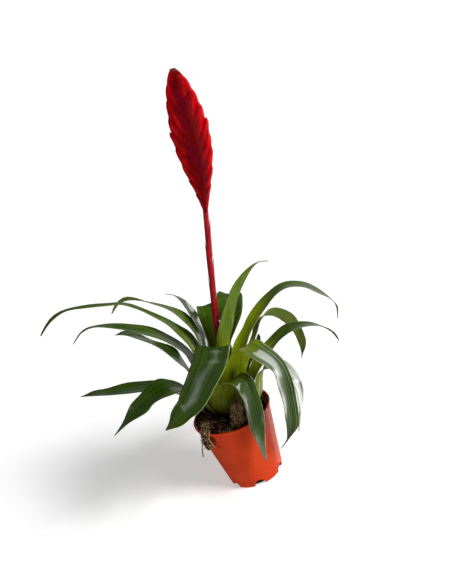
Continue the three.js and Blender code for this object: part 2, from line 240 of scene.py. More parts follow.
def baked(thing):
    """The plain mesh of an object with its modifiers; the object goes."""
    graph = bpy.context.evaluated_depsgraph_get()
    whole = {"preserve_all_data_layers": True, "depsgraph": graph}
    mesh = bpy.data.meshes.new_from_object(thing.evaluated_get(graph), **whole)
    bpy.data.objects.remove(thing)
    return mesh


def grown(mesh, tree, inputs):
    """The plain mesh that a tree makes from a mesh; the modifier goes with its object."""
    seedling = placed("seedling", mesh)
    modifier = seedling.modifiers.new("grow", "NODES")
    modifier.node_group = tree
    for item in tree.interface.items_tree:
        if item.in_out == "INPUT" and item.name in inputs:
            modifier[item.identifier] = inputs[item.name]
    return baked(seedling)


# ---- Meshes
def outward(mesh):
    """Turns the faces of a closed mesh outwards."""
    work = bmesh.new()
    work.from_mesh(mesh)
    if work.calc_volume(signed=True) < 0:
        bmesh.ops.reverse_faces(work, faces=work.faces)
    work.to_mesh(mesh)
    work.free()
    return mesh


def add_piece(name, mesh, nodes=(), material=None):
    """A finished piece, with its place in its mesh."""
    piece = placed(name, mesh)
    if material:
        mesh.materials.clear()
        mesh.materials.append(material)
    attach(piece, BODY)
    if nodes:
        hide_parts(*nodes)


def mesh_of(name, points, faces, smooth=True):
    mesh = bpy.data.meshes.new(name)
    mesh.from_pydata([tuple(p) for p in points], [], faces)
    mesh.polygons.foreach_set("use_smooth", [smooth] * len(mesh.polygons))
    mesh.update()
    return mesh


def joined(meshes, name):
    """One mesh out of several, with their attributes."""
    work = bmesh.new()
    for mesh in meshes:
        work.from_mesh(mesh)
    whole = bpy.data.meshes.new(name)
    work.to_mesh(whole)
    work.free()
    return whole


def carry(mesh, numbers, kind="FLOAT", key="value"):
    """Stores named numbers, or directions, on a mesh's points."""
    for name, values in numbers.items():
        data = mesh.attributes.new(name, kind, "POINT").data
        data.foreach_set(key, np.array(values, np.float32).ravel())
    return mesh


def angles_round(sides):
    return np.arange(sides) * 2 * math.pi / sides


def ring_faces(rows, sides, closed=False):
    """Faces between rings of points; closed ones join the last ring to the first."""
    faces = []
    for i in range(rows if closed else rows - 1):
        n = (i + 1) % rows
        for j in range(sides):
            k = (j + 1) % sides
            faces.append((i * sides + j, i * sides + k, n * sides + k, n * sides + j))
    return faces


def smoothstep(x, low, high):
    t = np.clip((np.asarray(x, float) - low) / (high - low), 0, 1)
    return t * t * (3 - 2 * t)


def unit(v):
    return v / np.maximum(np.linalg.norm(v, axis=-1, keepdims=True), 1e-9)


def curve_through(points, count, refine=24):
    """Evenly spaced points on a smooth line, their directions, its length, and for each point
    its place among the given points, as a number that runs from the first to the last."""
    p = np.array(points, float)
    p = np.vstack([2 * p[0] - p[1], p, 2 * p[-1] - p[-2]])
    w = np.linspace(0, 1, refine, endpoint=False)[:, None]
    fine = []
    for i in range(len(p) - 3):
        p0, p1, p2, p3 = p[i : i + 4]
        steps = ((p0, p1), (p1, p2), (p2, p3))
        d0, d1, d2 = (max(np.linalg.norm(b - a), 1e-4) ** 0.5 for a, b in steps)
        start = ((p1 - p0) / d0 - (p2 - p0) / (d0 + d1) + (p2 - p1) / d1) * d1
        end = ((p2 - p1) / d1 - (p3 - p1) / (d1 + d2) + (p3 - p2) / d2) * d1
        square = 3 * (p2 - p1) - 2 * start - end
        cubic = 2 * (p1 - p2) + start + end
        fine.append(p1 + start * w + square * w**2 + cubic * w**3)
    fine = np.vstack([*fine, p[-2]])
    run = np.concatenate([[0], np.cumsum(np.linalg.norm(np.diff(fine, axis=0), axis=1))])
    places = np.linspace(0, run[-1], count)
    at = np.stack([np.interp(places, run, fine[:, k]) for k in range(3)], 1)
    along = np.gradient(at, axis=0)
    along /= np.linalg.norm(along, axis=1, keepdims=True)
    return at, along, run[-1], np.interp(places, run, np.linspace(0, len(points) - 1, len(fine)))


def beside(along):
    """Directions square to a line: to its side, and to its back."""
    back = unit(np.array([0, 1.0, 0]) - along * along[:, 1:2])
    return np.cross(back, along), back


def tube(at, along, radii, sides):
    """A closed round body along a line, with its UV in order round and along it."""
    side, back = beside(along)
    angles = angles_round(sides)
    rings = (
        at[:, None]
        + side[:, None] * (np.cos(angles) * radii[:, None])[..., None]
        + back[:, None] * (np.sin(angles) * radii[:, None])[..., None]
    )
    points = list(rings.reshape(-1, 3)) + [at[0], at[-1]]
    rows = len(at)
    faces = ring_faces(rows, sides)
    corners = ((0, 0), (1, 0), (1, 1), (0, 1))
    cells = [(i, j) for i in range(rows - 1) for j in range(sides)]
    uvs = [((j + u) / sides, (i + v) / (rows - 1)) for i, j in cells for u, v in corners]
    first = rows * sides
    for j in range(sides):
        k = (j + 1) % sides
        faces += [(first, k, j), (first + 1, first - sides + j, first - sides + k)]
        uvs += [(0.5, 0)] * 3 + [(0.5, 1)] * 3
    mesh = mesh_of("tube", points, faces)
    layer = mesh.uv_layers.new(name="UVMap")
    layer.data.foreach_set("uv", np.array(uvs, float).ravel())
    return outward(mesh)


# ---- Materials
def principled(graph, colour, roughness, **more):
    surface = {"Base_Color": colour, "Roughness": roughness, **more}
    surface = graph.node("ShaderNodeBsdfPrincipled", **surface)
    graph.node("ShaderNodeOutputMaterial", Surface=surface)


def new_material(name):
    material = bpy.data.materials.new(name)
    material.use_nodes = True
    return material, Graph(material.node_tree)


def blade_uv(graph):
    """How far across and along its piece a point lies, each from 0 to 1."""
    split = graph.parts(graph.node("ShaderNodeUVMap", uv_map="UVMap"))
    return split, split.other("Y")


def numbers_on(graph, *names):
    """Numbers that the piece carries."""
    return [graph.node("ShaderNodeAttribute", output="Fac", attribute_name=name) for name in names]


def noise_at(graph, place, detail, roughness):
    """Noise about 0, from -1 to 1."""
    sockets = {"Vector": place, "Scale": 1.0, "Detail": detail, "Roughness": roughness}
    return (graph.node("ShaderNodeTexNoise", **sockets) - 0.5) * 2


def grain(graph, x, y, z, detail=2.0):
    """Noise at a point of a space of its own."""
    return noise_at(graph, graph.xyz(x, y, z), detail, 0.5)


def speckle(graph, scale):
    """Noise over the object itself, the finer the larger its scale."""
    place = graph.node("ShaderNodeTexCoord", output="Object")
    return noise_at(graph, graph.scaled(place, scale), 4.0, 0.6)


def bumped(graph, height, distance):
    return graph.node("ShaderNodeBump", Strength=1.0, Distance=distance, Height=height)


def leaf_material():
    """Glossy strap leaf: pleated green blade, darker in its grooves as painted shade and with painted
    highlight streaks along it, olive base browning at its foot, thin pale margin, dry tip.
    """
    material, g = new_material("leaf")
    across, along = blade_uv(g)
    tone, base, fade = numbers_on(g, "tone", "base", "fade")
    seed, width, gloss, upper = numbers_on(g, "seed", "width_mm", "gloss", "upper")
    upper = upper.ramp(0.4, 0.6)
    veins = grain(g, across * width * 1.6, along * 1.6, seed * 31)
    pleats = grain(g, across * width * 0.42, along * 1.1, seed * 11 + 3, 1.0)
    cloud = grain(g, across * 2.2, along * 8, seed * 23 + 9, 3.0)
    # Thin pale streaks along the blade: a painted highlight, reflected light put into the colour.
    painted_highlight_streaks = grain(g, across * width * 0.8, along * 0.5, seed * 17 + 5, 1.0)
    # Darker in the pleats' grooves and lighter on their ridges as painted shade, mixed with the veins and a
    # random cloud of the leaf's own.
    shade = (veins * 0.25 + pleats * 0.3 + cloud * 0.4 + 0.45).ramp(0, 1)

    def shaded(level, groove, ridge):
        """A groove's colour, darker as painted shade, and a ridge's, each from its first at level 0 to its
        second at 1.
        """
        return g.blend(shade, g.blend(level, *groove), g.blend(level, *ridge))

    # Tone and base, set for each leaf, are partly painted light: brighter on leaves that light shines
    # through, darker on shaded ones.
    blade = shaded(tone, ((14, 36, 0), (56, 86, 0)), ((36, 68, 2), (106, 136, 6)))
    under = shaded(tone, ((40, 70, 0), (96, 122, 24)), ((76, 108, 0), (150, 170, 78)))
    olive = shaded(base, ((44, 52, 4), (136, 158, 0)), ((78, 90, 16), (206, 224, 12)))
    sheath = (along + cloud * 0.04 - fade).ramp(0.1, -0.1)
    # Brown towards the foot: partly the leaf's own colour near the mix, partly painted shade low down.
    foot = (along + veins * 0.02).ramp(0.2, 0.02)
    margin = (abs(across - 0.5) * 2).ramp(0.93, 0.98) * along.ramp(0.1, 0.25)
    dry = (along + veins * 0.012).ramp(0.965, 0.995)
    colour = g.layered(
        blade,
        # pale streaks along the blade, a painted highlight
        (painted_highlight_streaks.ramp(0.3, 0.55) * 0.35, (150, 166, 118)),
        ((1 - upper) * 0.85, under),
        (sheath, olive),
        # brown at the foot, partly painted shade
        (foot * 0.85, (50, 34, 14)),
        (margin * 0.6, (186, 190, 130)),
        (dry * 0.8, (120, 104, 60)),
    )
    roughness = veins * 0.04 + cloud * 0.05 + 0.36 + (1 - upper) * 0.08
    normal = bumped(g, pleats + veins * 0.12 + cloud * 0.05, 0.0008)
    coat = upper.between(0.08, 0.85) * sheath.between(1.0, 0.3) * gloss
    coat = {"Coat_Weight": coat, "Coat_IOR": 2.0, "Coat_Roughness": 0.16}
    principled(g, colour, roughness, Normal=normal, Specular_IOR_Level=0.1, **coat)
    return material


def bract_material():
    """Soft red bract: darker flank, painted shade at its rim and on the bracts of one hand, a painted
    highlight along a ridge, violet near the spike's middle.
    """
    material, g = new_material("red bract")
    across, along = blade_uv(g)
    wrapped, tone, hand, wrap = numbers_on(g, "wrapped", "tone", "hand", "wrap")
    fine = grain(g, across * 60, along * 3, tone * 31)
    cloud = grain(g, across * 4, along * 7, tone * 13 + 2, 3.0)
    patches = grain(g, across * 2, along * 4, tone * 41 + 7, 1.0)
    open_side = 1 - wrap
    rim = abs(across - 0.5) * 2 + cloud * 0.1
    # A painted highlight along each bract, part way between its keel and its margin.
    ridge = rim.ramp(0.45, 0.6) * rim.ramp(0.75, 0.6) * open_side * cloud.ramp(-0.3, 0.3)
    violet = wrapped.ramp(0.6, 0.95) * patches.ramp(0, 0.5)
    colour = g.layered(
        g.blend((cloud * 1.1 + fine * 0.15 + 0.5).ramp(0, 1), (160, 0, 4), (255, 0, 14)),
        ((wrapped + cloud * 0.7).ramp(0.15, 0.8) * 0.9, (96, 0, 5)),
        # darker on the bracts of one hand: painted shade on the side away from the light
        (hand.ramp(0.5, -0.5) * open_side * 0.35, (116, 0, 3)),
        # darker near each margin, where a bract overlaps the next: painted shade
        (rim.ramp(0.7, 1.0) * open_side * 0.5, (84, 0, 6)),
        # the painted highlight
        (ridge * 0.6, (240, 24, 34)),
        (violet * 0.55, (84, 0, 46)),
        (wrap * along.ramp(0.93, 1.0) * 0.6, (134, 54, 34)),
    )
    roughness = fine * 0.04 + cloud * 0.05 + 0.36
    normal = bumped(g, fine * 0.2 + cloud * 1.8, 0.0006)
    gloss = {"Specular_IOR_Level": 0.02, "Coat_Weight": 0.1, "Coat_Roughness": 0.16}
    principled(g, colour, roughness, Normal=normal, **gloss)
    return material


def stalk_material():
    """Smooth red flower stalk."""
    material, g = new_material("red stalk")
    across, along = blade_uv(g)
    fine = grain(g, across * 30, along * 40, 3)
    cloud = grain(g, across * 2, along * 9, 8, 3.0)
    colour = g.blend((cloud * 0.5 + fine * 0.2 + 0.5).ramp(0, 1), (128, 2, 10), (190, 12, 28))
    normal = bumped(g, fine * 0.4 + cloud, 0.0001)
    gloss = {"Specular_IOR_Level": 0.15, "Coat_Weight": 0.1, "Coat_Roughness": 0.25}
    principled(g, colour, fine * 0.05 + 0.36, Normal=normal, **gloss)
    return material


def pot_material():
    """Terracotta-coloured plastic, a little dusty and scuffed."""
    material, g = new_material("terracotta plastic")
    cloud = speckle(g, 60)
    fine = speckle(g, 900)
    grime = (speckle(g, 240) + cloud * 0.5).ramp(0.45, 0.95)
    colour = g.blend((cloud * 0.5 + 0.5).ramp(0, 1), (190, 54, 18), (212, 70, 28))
    colour = g.blend(grime * 0.35, colour, (96, 44, 26))
    roughness = cloud * 0.06 + fine * 0.05 + 0.42
    normal = bumped(g, fine + cloud * 2, 0.00006)
    principled(g, colour, roughness, Normal=normal, Specular_IOR_Level=0.05)
    return material


def earthy_material(name, dark, light, scale, roughness=0.9):
    material, g = new_material(name)
    cloud = speckle(g, scale)
    fine = speckle(g, scale * 6)
    colour = g.blend((cloud * 1.3 + fine * 0.4 + 0.4).ramp(0, 1), dark, light)
    normal = bumped(g, cloud + fine * 0.6, 0.0003)
    principled(g, colour, fine * 0.05 + roughness, Normal=normal, Specular_IOR_Level=0.1)
    return material


LEAF_GREEN = leaf_material()
BRACT_RED = bract_material()
STALK_RED = stalk_material()
POT_PLASTIC = pot_material()
DARK_MIX = earthy_material("dark potting mix", (10, 6, 4), (44, 28, 19), 500)
BARK = earthy_material("bark chip", (44, 26, 18), (104, 66, 46), 700)
COIR = earthy_material("coir fibre", (46, 28, 18), (208, 164, 122), 900)
PALE_ROOT = earthy_material("pale root", (120, 96, 66), (190, 168, 130), 900, 0.7)

# ---- The crown's own axis
CROWN_ORIGIN = Vector((0, 2, 50))
LEAN = math.radians(11)
CROWN_TURN = np.array(Matrix.Rotation(LEAN, 3, "Y"))


def on_crown(points):
    """Points about the leaning crown's axis, in millimetres, to places in metres."""
    return (np.asarray(points, float) @ CROWN_TURN.T + np.array(CROWN_ORIGIN)) * MM


def leant(directions):
    return directions @ CROWN_TURN.T


def turned(vectors, axes, angles):
    """Each vector turned about its axis."""
    c, s = np.cos(angles)[:, None], np.sin(angles)[:, None]
    dot = np.sum(vectors * axes, 1, keepdims=True)
    return vectors * c + np.cross(axes, vectors) * s + axes * dot * (1 - c)


# ---- Blades over a spine
def blade_grid(g, rows, strips):
    """A grid to wrap into a thin blade, its upper face out and its lower face back, with how
    far along and how far round it a point lies."""
    grid = g.geo("MeshGrid", Size_X=1.0, Size_Y=1.0, Vertices_X=rows, Vertices_Y=strips * 2 + 1)
    along = g.parts(grid.other("UV Map"))
    return grid, along, along.other("Y")


def wrapped_round(around):
    """From the place round a blade: how far across it, -1 to 1, and which face, 1 or -1."""
    return 1 - abs(around * 4 - 2), (0.5 - around).math("SIGN")


def closed_blade(g, blade, across, along, distance):
    """The blade with its UV, and with its margins and ends closed."""
    flat = g.xyz(across * 0.5 + 0.5, along, 0.0)
    blade = store(g, blade, "UVMap", flat, "FLOAT2", "CORNER")
    return finish_tree(g, g.geo("MergeByDistance", Geometry=blade, Distance=distance))


EDGE_SHARPNESS = 6  # how squarely a blade keeps its thickness out to its margin
RUFFLE_SKEW = 1.3


def blade_tree():
    """A thin blade bent across its spine, closed round its margins and at both ends.

    The spine's points carry side, lift, width, fold (half the angle the blade bends through),
    thick and wave.
    """
    sizes = {"Rows": "Int", "Strips": "Int", "Ruffles": "Float", "Seed": "Float"}
    g = geometry_tree("blade over a spine", **sizes)
    spine = g.geo("MeshToCurve", Mesh=g.given("Geometry"))
    grid, along, around = blade_grid(g, g.given("Rows"), g.given("Strips"))
    across, face = wrapped_round(around)

    def on_spine(name, kind="FLOAT"):
        sockets = {"Curves": spine, "Value": attribute(g, name, kind), "Factor": along}
        return g.geo("SampleCurve", output="Value", data_type=kind, mode="FACTOR", **sockets)

    side = on_spine("side", "FLOAT_VECTOR")
    lift = on_spine("lift", "FLOAT_VECTOR")
    fold = on_spine("fold")
    angle = fold * across
    bend = on_spine("width") * 0.5 / fold
    round_edge = (1 - abs(across) ** EDGE_SHARPNESS).math("MAXIMUM", 0.0) ** 0.5
    half_thick = on_spine("thick") * 0.5 * round_edge * face
    phase = along * g.given("Ruffles") * 2 * math.pi + across * RUFFLE_SKEW + g.given("Seed")
    rise = half_thick + on_spine("wave") * phase.math("SINE") * across**2
    sine, cosine = angle.math("SINE"), angle.math("COSINE")
    sideways = bend * sine - rise * sine
    upwards = bend * (1 - cosine) + rise * cosine
    shift = g.vector("ADD", g.scaled(side, sideways), g.scaled(lift, upwards))
    point = g.vector("ADD", side.other("Position"), shift)
    blade = moved(g, grid, Position=point)
    blade = store(g, blade, "upper", face * 0.5 + 0.5)
    return closed_blade(g, blade, across, along, 2e-6)


BLADE = blade_tree()


def spine_mesh(points, numbers, directions):
    """A line of points that carries numbers and directions for the blade tree."""
    mesh = bpy.data.meshes.new("spine")
    edges = [(i, i + 1) for i in range(len(points) - 1)]
    mesh.from_pydata([tuple(p) for p in points], edges, [])
    carry(mesh, directions, "FLOAT_VECTOR", "vector")
    return carry(mesh, numbers)


# ---- Leaves
# One row a leaf, innermost first, as in the frame. LOOKS names a row's numbers: half the angle
# the open blade is channelled to, where along the leaf the sheath starts and ends opening, the
# tones of its blade and of its base from dark to bright, which are partly the leaf's own colour and
# partly painted light, brighter where light shines through a leaf and darker where it is shaded,
# where along it the base's colour fades out, and its gloss. Then its path, as (radius, azimuth,
# height, width, roll) about the crown.
LOOKS = ("channel", "opening", "open", "tone", "base", "fade", "gloss")
LEAVES = [
    (20, 0.36, 0.6, 0.8, 0.7, 0.4, 0.5, [
        (4, 319, 5.5, 11, 0), (4.5, 319, 30, 11, 0), (6, 319, 53.5, 14, -20), (14, 327, 80.5, 9, -38),
        (23.5, 333, 97, 7, -48), (34.5, 338, 107, 4, -24), (42.5, 341, 107, 1.5, -37),
    ]),
    (22, 0.42, 0.66, 0.35, 0.35, 0.5, 0.8, [
        (5.5, 66, 5.5, 10, 0), (8, 52, 46, 9.5, 0), (12, 42, 57, 12.5, 4), (17.5, 46, 66, 17.5, 8),
        (24, 55, 73, 18.5, 10), (30, 61, 74.5, 15, 10), (36, 63, 69, 9, 10),
    ]),
    (16, 0.25, 0.4, 0.2, 0.3, 0.3, 1.0, [
        (6, 252, 5.5, 12, 0), (7, 252, 28, 13, 0), (11.5, 250, 55, 23, -2), (22, 245, 48.5, 24, -5),
        (35.5, 240, 40.5, 22.5, -5), (48, 236, 33, 19, -9), (53.5, 233, 30, 16, -12),
        (61.5, 232, 27.5, 10.5, -12), (70.5, 230, 27, 1.5, 0),
    ]),
    (22, 0.46, 0.66, 0.4, 0.3, 0.5, 0.35, [
        (7, 102, 5.5, 10, 0), (9, 101, 42, 10, 0), (11, 104, 52, 9, 0), (18.5, 98, 68, 14.5, 0),
        (24, 98, 70.5, 12, 0), (30, 98, 67.5, 8, 0), (35, 98, 59.5, 1, 0),
    ]),
    (26, 0.14, 0.42, 0.35, 0.45, 0.35, 1.0, [
        (8, 124, 5.5, 12, 0), (11, 124, 42, 11, 6), (13, 126, 54, 10.5, 26), (21, 129, 70, 9.5, 18),
        (28, 132, 80, 6, 23), (33, 133, 82.5, 3.5, 25), (41, 134, 83, 1.5, 14),
    ]),
    (22, 0.14, 0.42, 0.8, 0.5, 0.35, 0.35, [
        (9.5, 146, 5.5, 13, 0), (13, 146, 42, 13, 4), (14.5, 147, 53, 13, 16), (17, 147, 61.5, 14.5, 16),
        (27, 148, 73.5, 12, 14), (42.5, 149, 80, 9.5, 26), (62, 149, 83.5, 8.5, 40),
        (70.5, 150, 80.5, 5.5, 25), (77.5, 150, 72.5, 1.5, 7),
    ]),
    (22, 0.14, 0.42, 0.6, 0.9, 0.45, 0.6, [
        (8.5, 20, 5.5, 14, 0), (11.5, 20, 36, 14, 0), (16.5, 20, 44.5, 16, -1), (22.5, 20, 52.5, 16, -10),
        (29, 20, 60, 16, -8), (45, 21, 71, 13.5, -8), (55, 21, 74, 12.5, -4), (66.5, 21, 71.5, 12, 8),
        (77.5, 21, 65, 11, 20), (96, 22, 46, 5.5, 16), (96, 22, 34.5, 1.5, 21),
    ]),
    (16, 0.14, 0.42, 0.65, 0.5, 0.3, 0.35, [
        (10.5, 164, 5.5, 16, 0), (19, 165, 54.5, 16.5, -3), (26.5, 165, 65, 13, 0),
        (34.5, 166, 73.5, 10, 7), (57.5, 166, 87.5, 7.5, 12), (69, 167, 89, 7, 4), (97, 167, 88.5, 6, 1),
        (108, 168, 84, 5, -17), (118.5, 168, 73, 2, -39),
    ]),
    (24, 0.14, 0.42, 0.7, 0.8, 0.35, 0.4, [
        (10, 36, 5.5, 10, 0), (12.5, 36, 20, 10, 0), (29, 38, 38, 8, -20), (34.5, 37, 44.5, 11.5, -32),
        (39.5, 38, 49.5, 12.5, -37), (48.5, 38, 52.5, 13.5, -37), (68.5, 39, 40.5, 13, -22),
        (80.5, 39, 19, 9, 0), (82.5, 40, 9.5, 5.5, 15), (80, 40, 1, 1.5, 47),
    ]),
    (24, 0.14, 0.42, 0.25, 0.75, 0.38, 1.0, [
        (11, 290, 5.5, 24, 0), (16.5, 290, 32, 25.5, 0), (19.5, 296, 44.5, 17.5, 0),
        (24.5, 301, 54, 15.5, 0), (30, 303, 57, 17, 0), (36, 305, 54.5, 17.5, 4),
        (44.5, 316, 40.5, 15.5, 9), (47.5, 319, 1.5, 12, 18), (46, 319, -6.5, 9.5, 20),
        (42.5, 319, -13.5, 3, 20), (35.5, 319, -23, 1, 10),
    ]),
    (20, 0.14, 0.42, 0.45, 0.45, 0.3, 0.5, [
        (12, 174, 5.5, 18, 0), (14.5, 174, 22, 18, 0), (21, 174, 44, 17.5, -2), (24.5, 174, 51.5, 16, 3),
        (39.5, 174, 65, 15.5, 1), (57, 174, 73.5, 11.5, -2), (77.5, 174, 78.5, 6.5, 9),
        (86.5, 174, 76.5, 4.5, -1), (95, 174, 68.5, 1.5, -9),
    ]),
    (22, 0.14, 0.42, 0.35, 0.75, 0.4, 0.7, [
        (12.5, 350, 5.5, 22, 0), (17, 352, 18, 23, 0), (24.5, 357, 32, 18.5, 0), (39, 6, 44, 15, -6),
        (51, 7, 49, 13.5, 2), (67, 7, 47, 10, -8), (79.5, 8, 37.5, 6, -10), (84, 8, 29, 1.5, -15),
    ]),
    (16, 0.14, 0.42, 0.15, 0.4, 0.3, 0.7, [
        (13, 188, 5.5, 20, 0), (20.5, 189, 29, 20, 0), (26, 192, 43.5, 19, -10), (30.5, 194, 52, 17, -21),
        (43.5, 196, 66.5, 13, -5), (59, 196, 79, 9.5, -7), (67.5, 197, 81.5, 1.5, 3),
    ]),
    (24, 0.14, 0.42, 1.0, 0.8, 0.3, 0.3, [
        (13.5, 45, 5.5, 8, 0), (17, 45, 16, 7.5, 0), (22, 38, 26, 8, 0), (26, 31, 32.5, 7.5, 0),
        (28.5, 24.5, 38.5, 6.5, 0), (31, 23, 45.5, 5, 0), (31, 23, 47.5, 2, 0),
    ]),
    (22, 0.14, 0.42, 0.2, 0.2, 0.34, 1.0, [
        (14, 246, 5.5, 15, 0), (18, 246, 13, 21, 0), (21, 253, 23, 23.5, 0), (24.5, 265, 33.5, 22, 0),
        (29, 277, 37.5, 18.5, -2), (33, 284, 36.5, 16, -6), (35.5, 288, 27.5, 13.5, -11),
        (39, 288, 14.5, 13, -10), (39.5, 288, 7, 12, -12), (42.5, 288, -10.5, 5.5, -26),
        (44.5, 288, -19, 1, -30),
    ]),
    (24, 0.14, 0.42, 0.25, 0.85, 0.34, 1.0, [
        (15.5, 333, 5.5, 22, 0), (22.5, 335, 12, 24, 0), (24.5, 334, 23, 20, 0), (29, 333, 34, 14, 0),
        (39.5, 334, 35, 12.5, 6), (48, 336, 22, 13, 8), (48.5, 337, 5, 11.5, 8), (46, 338, -10, 5.5, 8),
        (44.5, 338, -17.5, 1, 8),
    ]),
    (18, 0.14, 0.42, 0.1, 0.2, 0.25, 0.7, [
        (15.5, 210, 5.5, 10.5, 0), (26.5, 213, 23.5, 13.5, 0), (32.5, 211, 32, 15, -10),
        (40, 211, 37.5, 16.5, -14), (48, 212, 40.5, 19.5, -15), (64, 213, 39, 16, -4),
        (72, 214, 36.5, 15, -2), (86, 215, 33, 7, 22), (94, 216, 31.5, 1.5, 26),
    ]),
    (20, 0.14, 0.42, 0.1, 0.3, 0.25, 0.4, [
        (17.5, 194, 5.5, 14, 0), (23.5, 195, 12, 14, 0), (33.5, 196, 27.5, 16, -8), (43, 196, 34, 16.5, -7),
        (61.5, 196, 40.5, 15.5, -5), (80, 197, 45, 11.5, -3), (88.5, 197, 47.5, 8, -1),
        (97.5, 197, 49, 1.5, 10),
    ]),
    (24, 0.14, 0.42, 0.3, 0.3, 0.25, 0.6, [
        (15.5, 89, 4.9, 20, 0), (28, 89, 18, 18.5, 0), (39, 89, 21, 16, 0), (49, 89, 18, 16, 0),
        (57, 89, 10, 12, 0), (63, 89, -1, 1, 0),
    ]),
    (24, 0.14, 0.42, 0.3, 0.3, 0.25, 0.6, [
        (17.5, 127, 5.5, 16, 0), (29, 127, 12, 15.5, 0), (37, 127, 12, 15, 0), (44, 127, 7, 13, 0),
        (48, 127, -2, 1, 0),
    ]),
]
LEAF = {
    "thickness": 0.62,
    "tip_thickness": 0.3,
    "thins_from": 0.6,
    "round_tip": (1.2, 1),  # its length, as a share of the last width, and more
    "narrowest": 0.02,
    "full_width": 14,  # a blade this wide takes its whole channel angle
    "least_channel": 0.3,  # the share of it that the narrowest takes
    "folds": (0.02, 1.2),
    "points": 110,
    "rows": 110,
    "strips": 24,
    "wave": 0.3,
    "wave_rises": (0.3, 0.6),
    "ruffle": 26,  # the length of one wave of the margin
    "ruffle_step": 2.1,
    "marks_step": 0.37,
}


def smooth_between(values, places):
    """Rows of numbers at fractional places, on the same smooth line as in the frame."""
    last = len(values) - 1
    i = np.clip(np.floor(places).astype(int), 0, last - 1)
    w = (places - i)[:, None]
    start, end = values[i], values[i + 1]
    slope = (end - values[np.maximum(i - 1, 0)]) / 2
    next_slope = (values[np.minimum(i + 2, last)] - start) / 2
    cubic = 2 * start - 2 * end + slope + next_slope
    square = -3 * start + 3 * end - 2 * slope - next_slope
    return cubic * w**3 + square * w**2 + slope * w + start


def leaf_spine(look, path):
    """The leaf's line with its frame and sizes, in metres, and its length in millimetres."""
    radius, angle = path[:, 0], np.radians(path[:, 1])
    points = np.stack([radius * np.cos(angle), radius * np.sin(angle), path[:, 2]], 1)
    at, along, length, places = curve_through(points, LEAF["points"])
    t = np.linspace(0, 1, LEAF["points"])
    width, roll = smooth_between(path[:, 3:], places).T
    side = np.cross([0, 0, 1], unit(at * [1, 1, 0]) + along)
    side = unit(side - along * np.sum(side * along, 1, keepdims=True))
    side = turned(side, along, np.radians(roll))
    lift = np.cross(along, side)
    share, more = LEAF["round_tip"]
    end = np.clip(1 - (1 - t) * length / (share * path[-1, 3] + more), 0, 1)
    width = np.maximum(width * np.sqrt(1 - end**2), LEAF["narrowest"])
    full = np.clip(width / LEAF["full_width"], LEAF["least_channel"], 1)
    reach = np.hypot(at[:, 0], at[:, 1])
    opened = smoothstep(t, look["opening"], look["open"])
    channel = math.radians(look["channel"]) * full
    fold = np.clip(width / 2 / reach * (1 - opened) + channel * opened, *LEAF["folds"])
    thinner = (LEAF["tip_thickness"] - LEAF["thickness"]) * smoothstep(t, LEAF["thins_from"], 1)
    thick = np.minimum(LEAF["thickness"] + thinner, width * 0.5)
    thick[[0, -1]] = 0
    wave = LEAF["wave"] * smoothstep(t, *LEAF["wave_rises"]) * full
    numbers = {"width": width * MM, "fold": fold, "thick": thick * MM, "wave": wave * MM}
    return spine_mesh(on_crown(at), numbers, {"side": leant(side), "lift": leant(lift)}), length


def make_leaves():
    for i, (*look, path) in enumerate(LEAVES, 1):
        look = dict(zip(LOOKS, look))
        path = np.array(path, float)
        spine, length = leaf_spine(look, path)
        inputs = {
            "Rows": LEAF["rows"],
            "Strips": LEAF["strips"],
            "Ruffles": length / LEAF["ruffle"],
            "Seed": i * LEAF["ruffle_step"],
            "Material": LEAF_GREEN,
        }
        blade = outward(grown(spine, BLADE, inputs))
        on_blade = {key: look[key] for key in ("tone", "base", "fade", "gloss")}
        on_blade["width_mm"] = max(path[2:, 3])
        on_blade["seed"] = i * LEAF["marks_step"]
        count = len(blade.vertices)
        carry(blade, {key: np.full(count, value) for key, value in on_blade.items()})
        add_piece(f"strap_leaf_{i:02d}", blade, [f"leaf_{i:02d}"])


make_leaves()


# ---- Flower stalk
STALK = {
    "foot_radius": 3,
    "radius": 1.75,
    "slims": (0.12, 0.26),
    "path": [(0, 0, -6), (0, 0, 14), (0, 0, 32), (0.3, 0, 57), (3.5, -2, 105), (6.8, -2, 143)],
    "rows": 120,
    "sides": 32,
}
STALK_BRACT = {
    "starts": (0.4, 0.47, 0.55, 0.63, 0.71, 0.8),
    "length": 0.17,
    "thickness": 0.35,
    "gaps": (0.12, 0.2),  # to the stalk at its foot, and how much more at its point
    "gape": 0.35,
    "gapes_from": 0.86,
    "folds": (3.0, 2.3),  # at its foot, and how much less at its point
    "unfolds_from": 0.1,
    "narrows": 0.96,
    "narrows_from": 0.5,
    "rows": 40,
    "strips": 16,
}


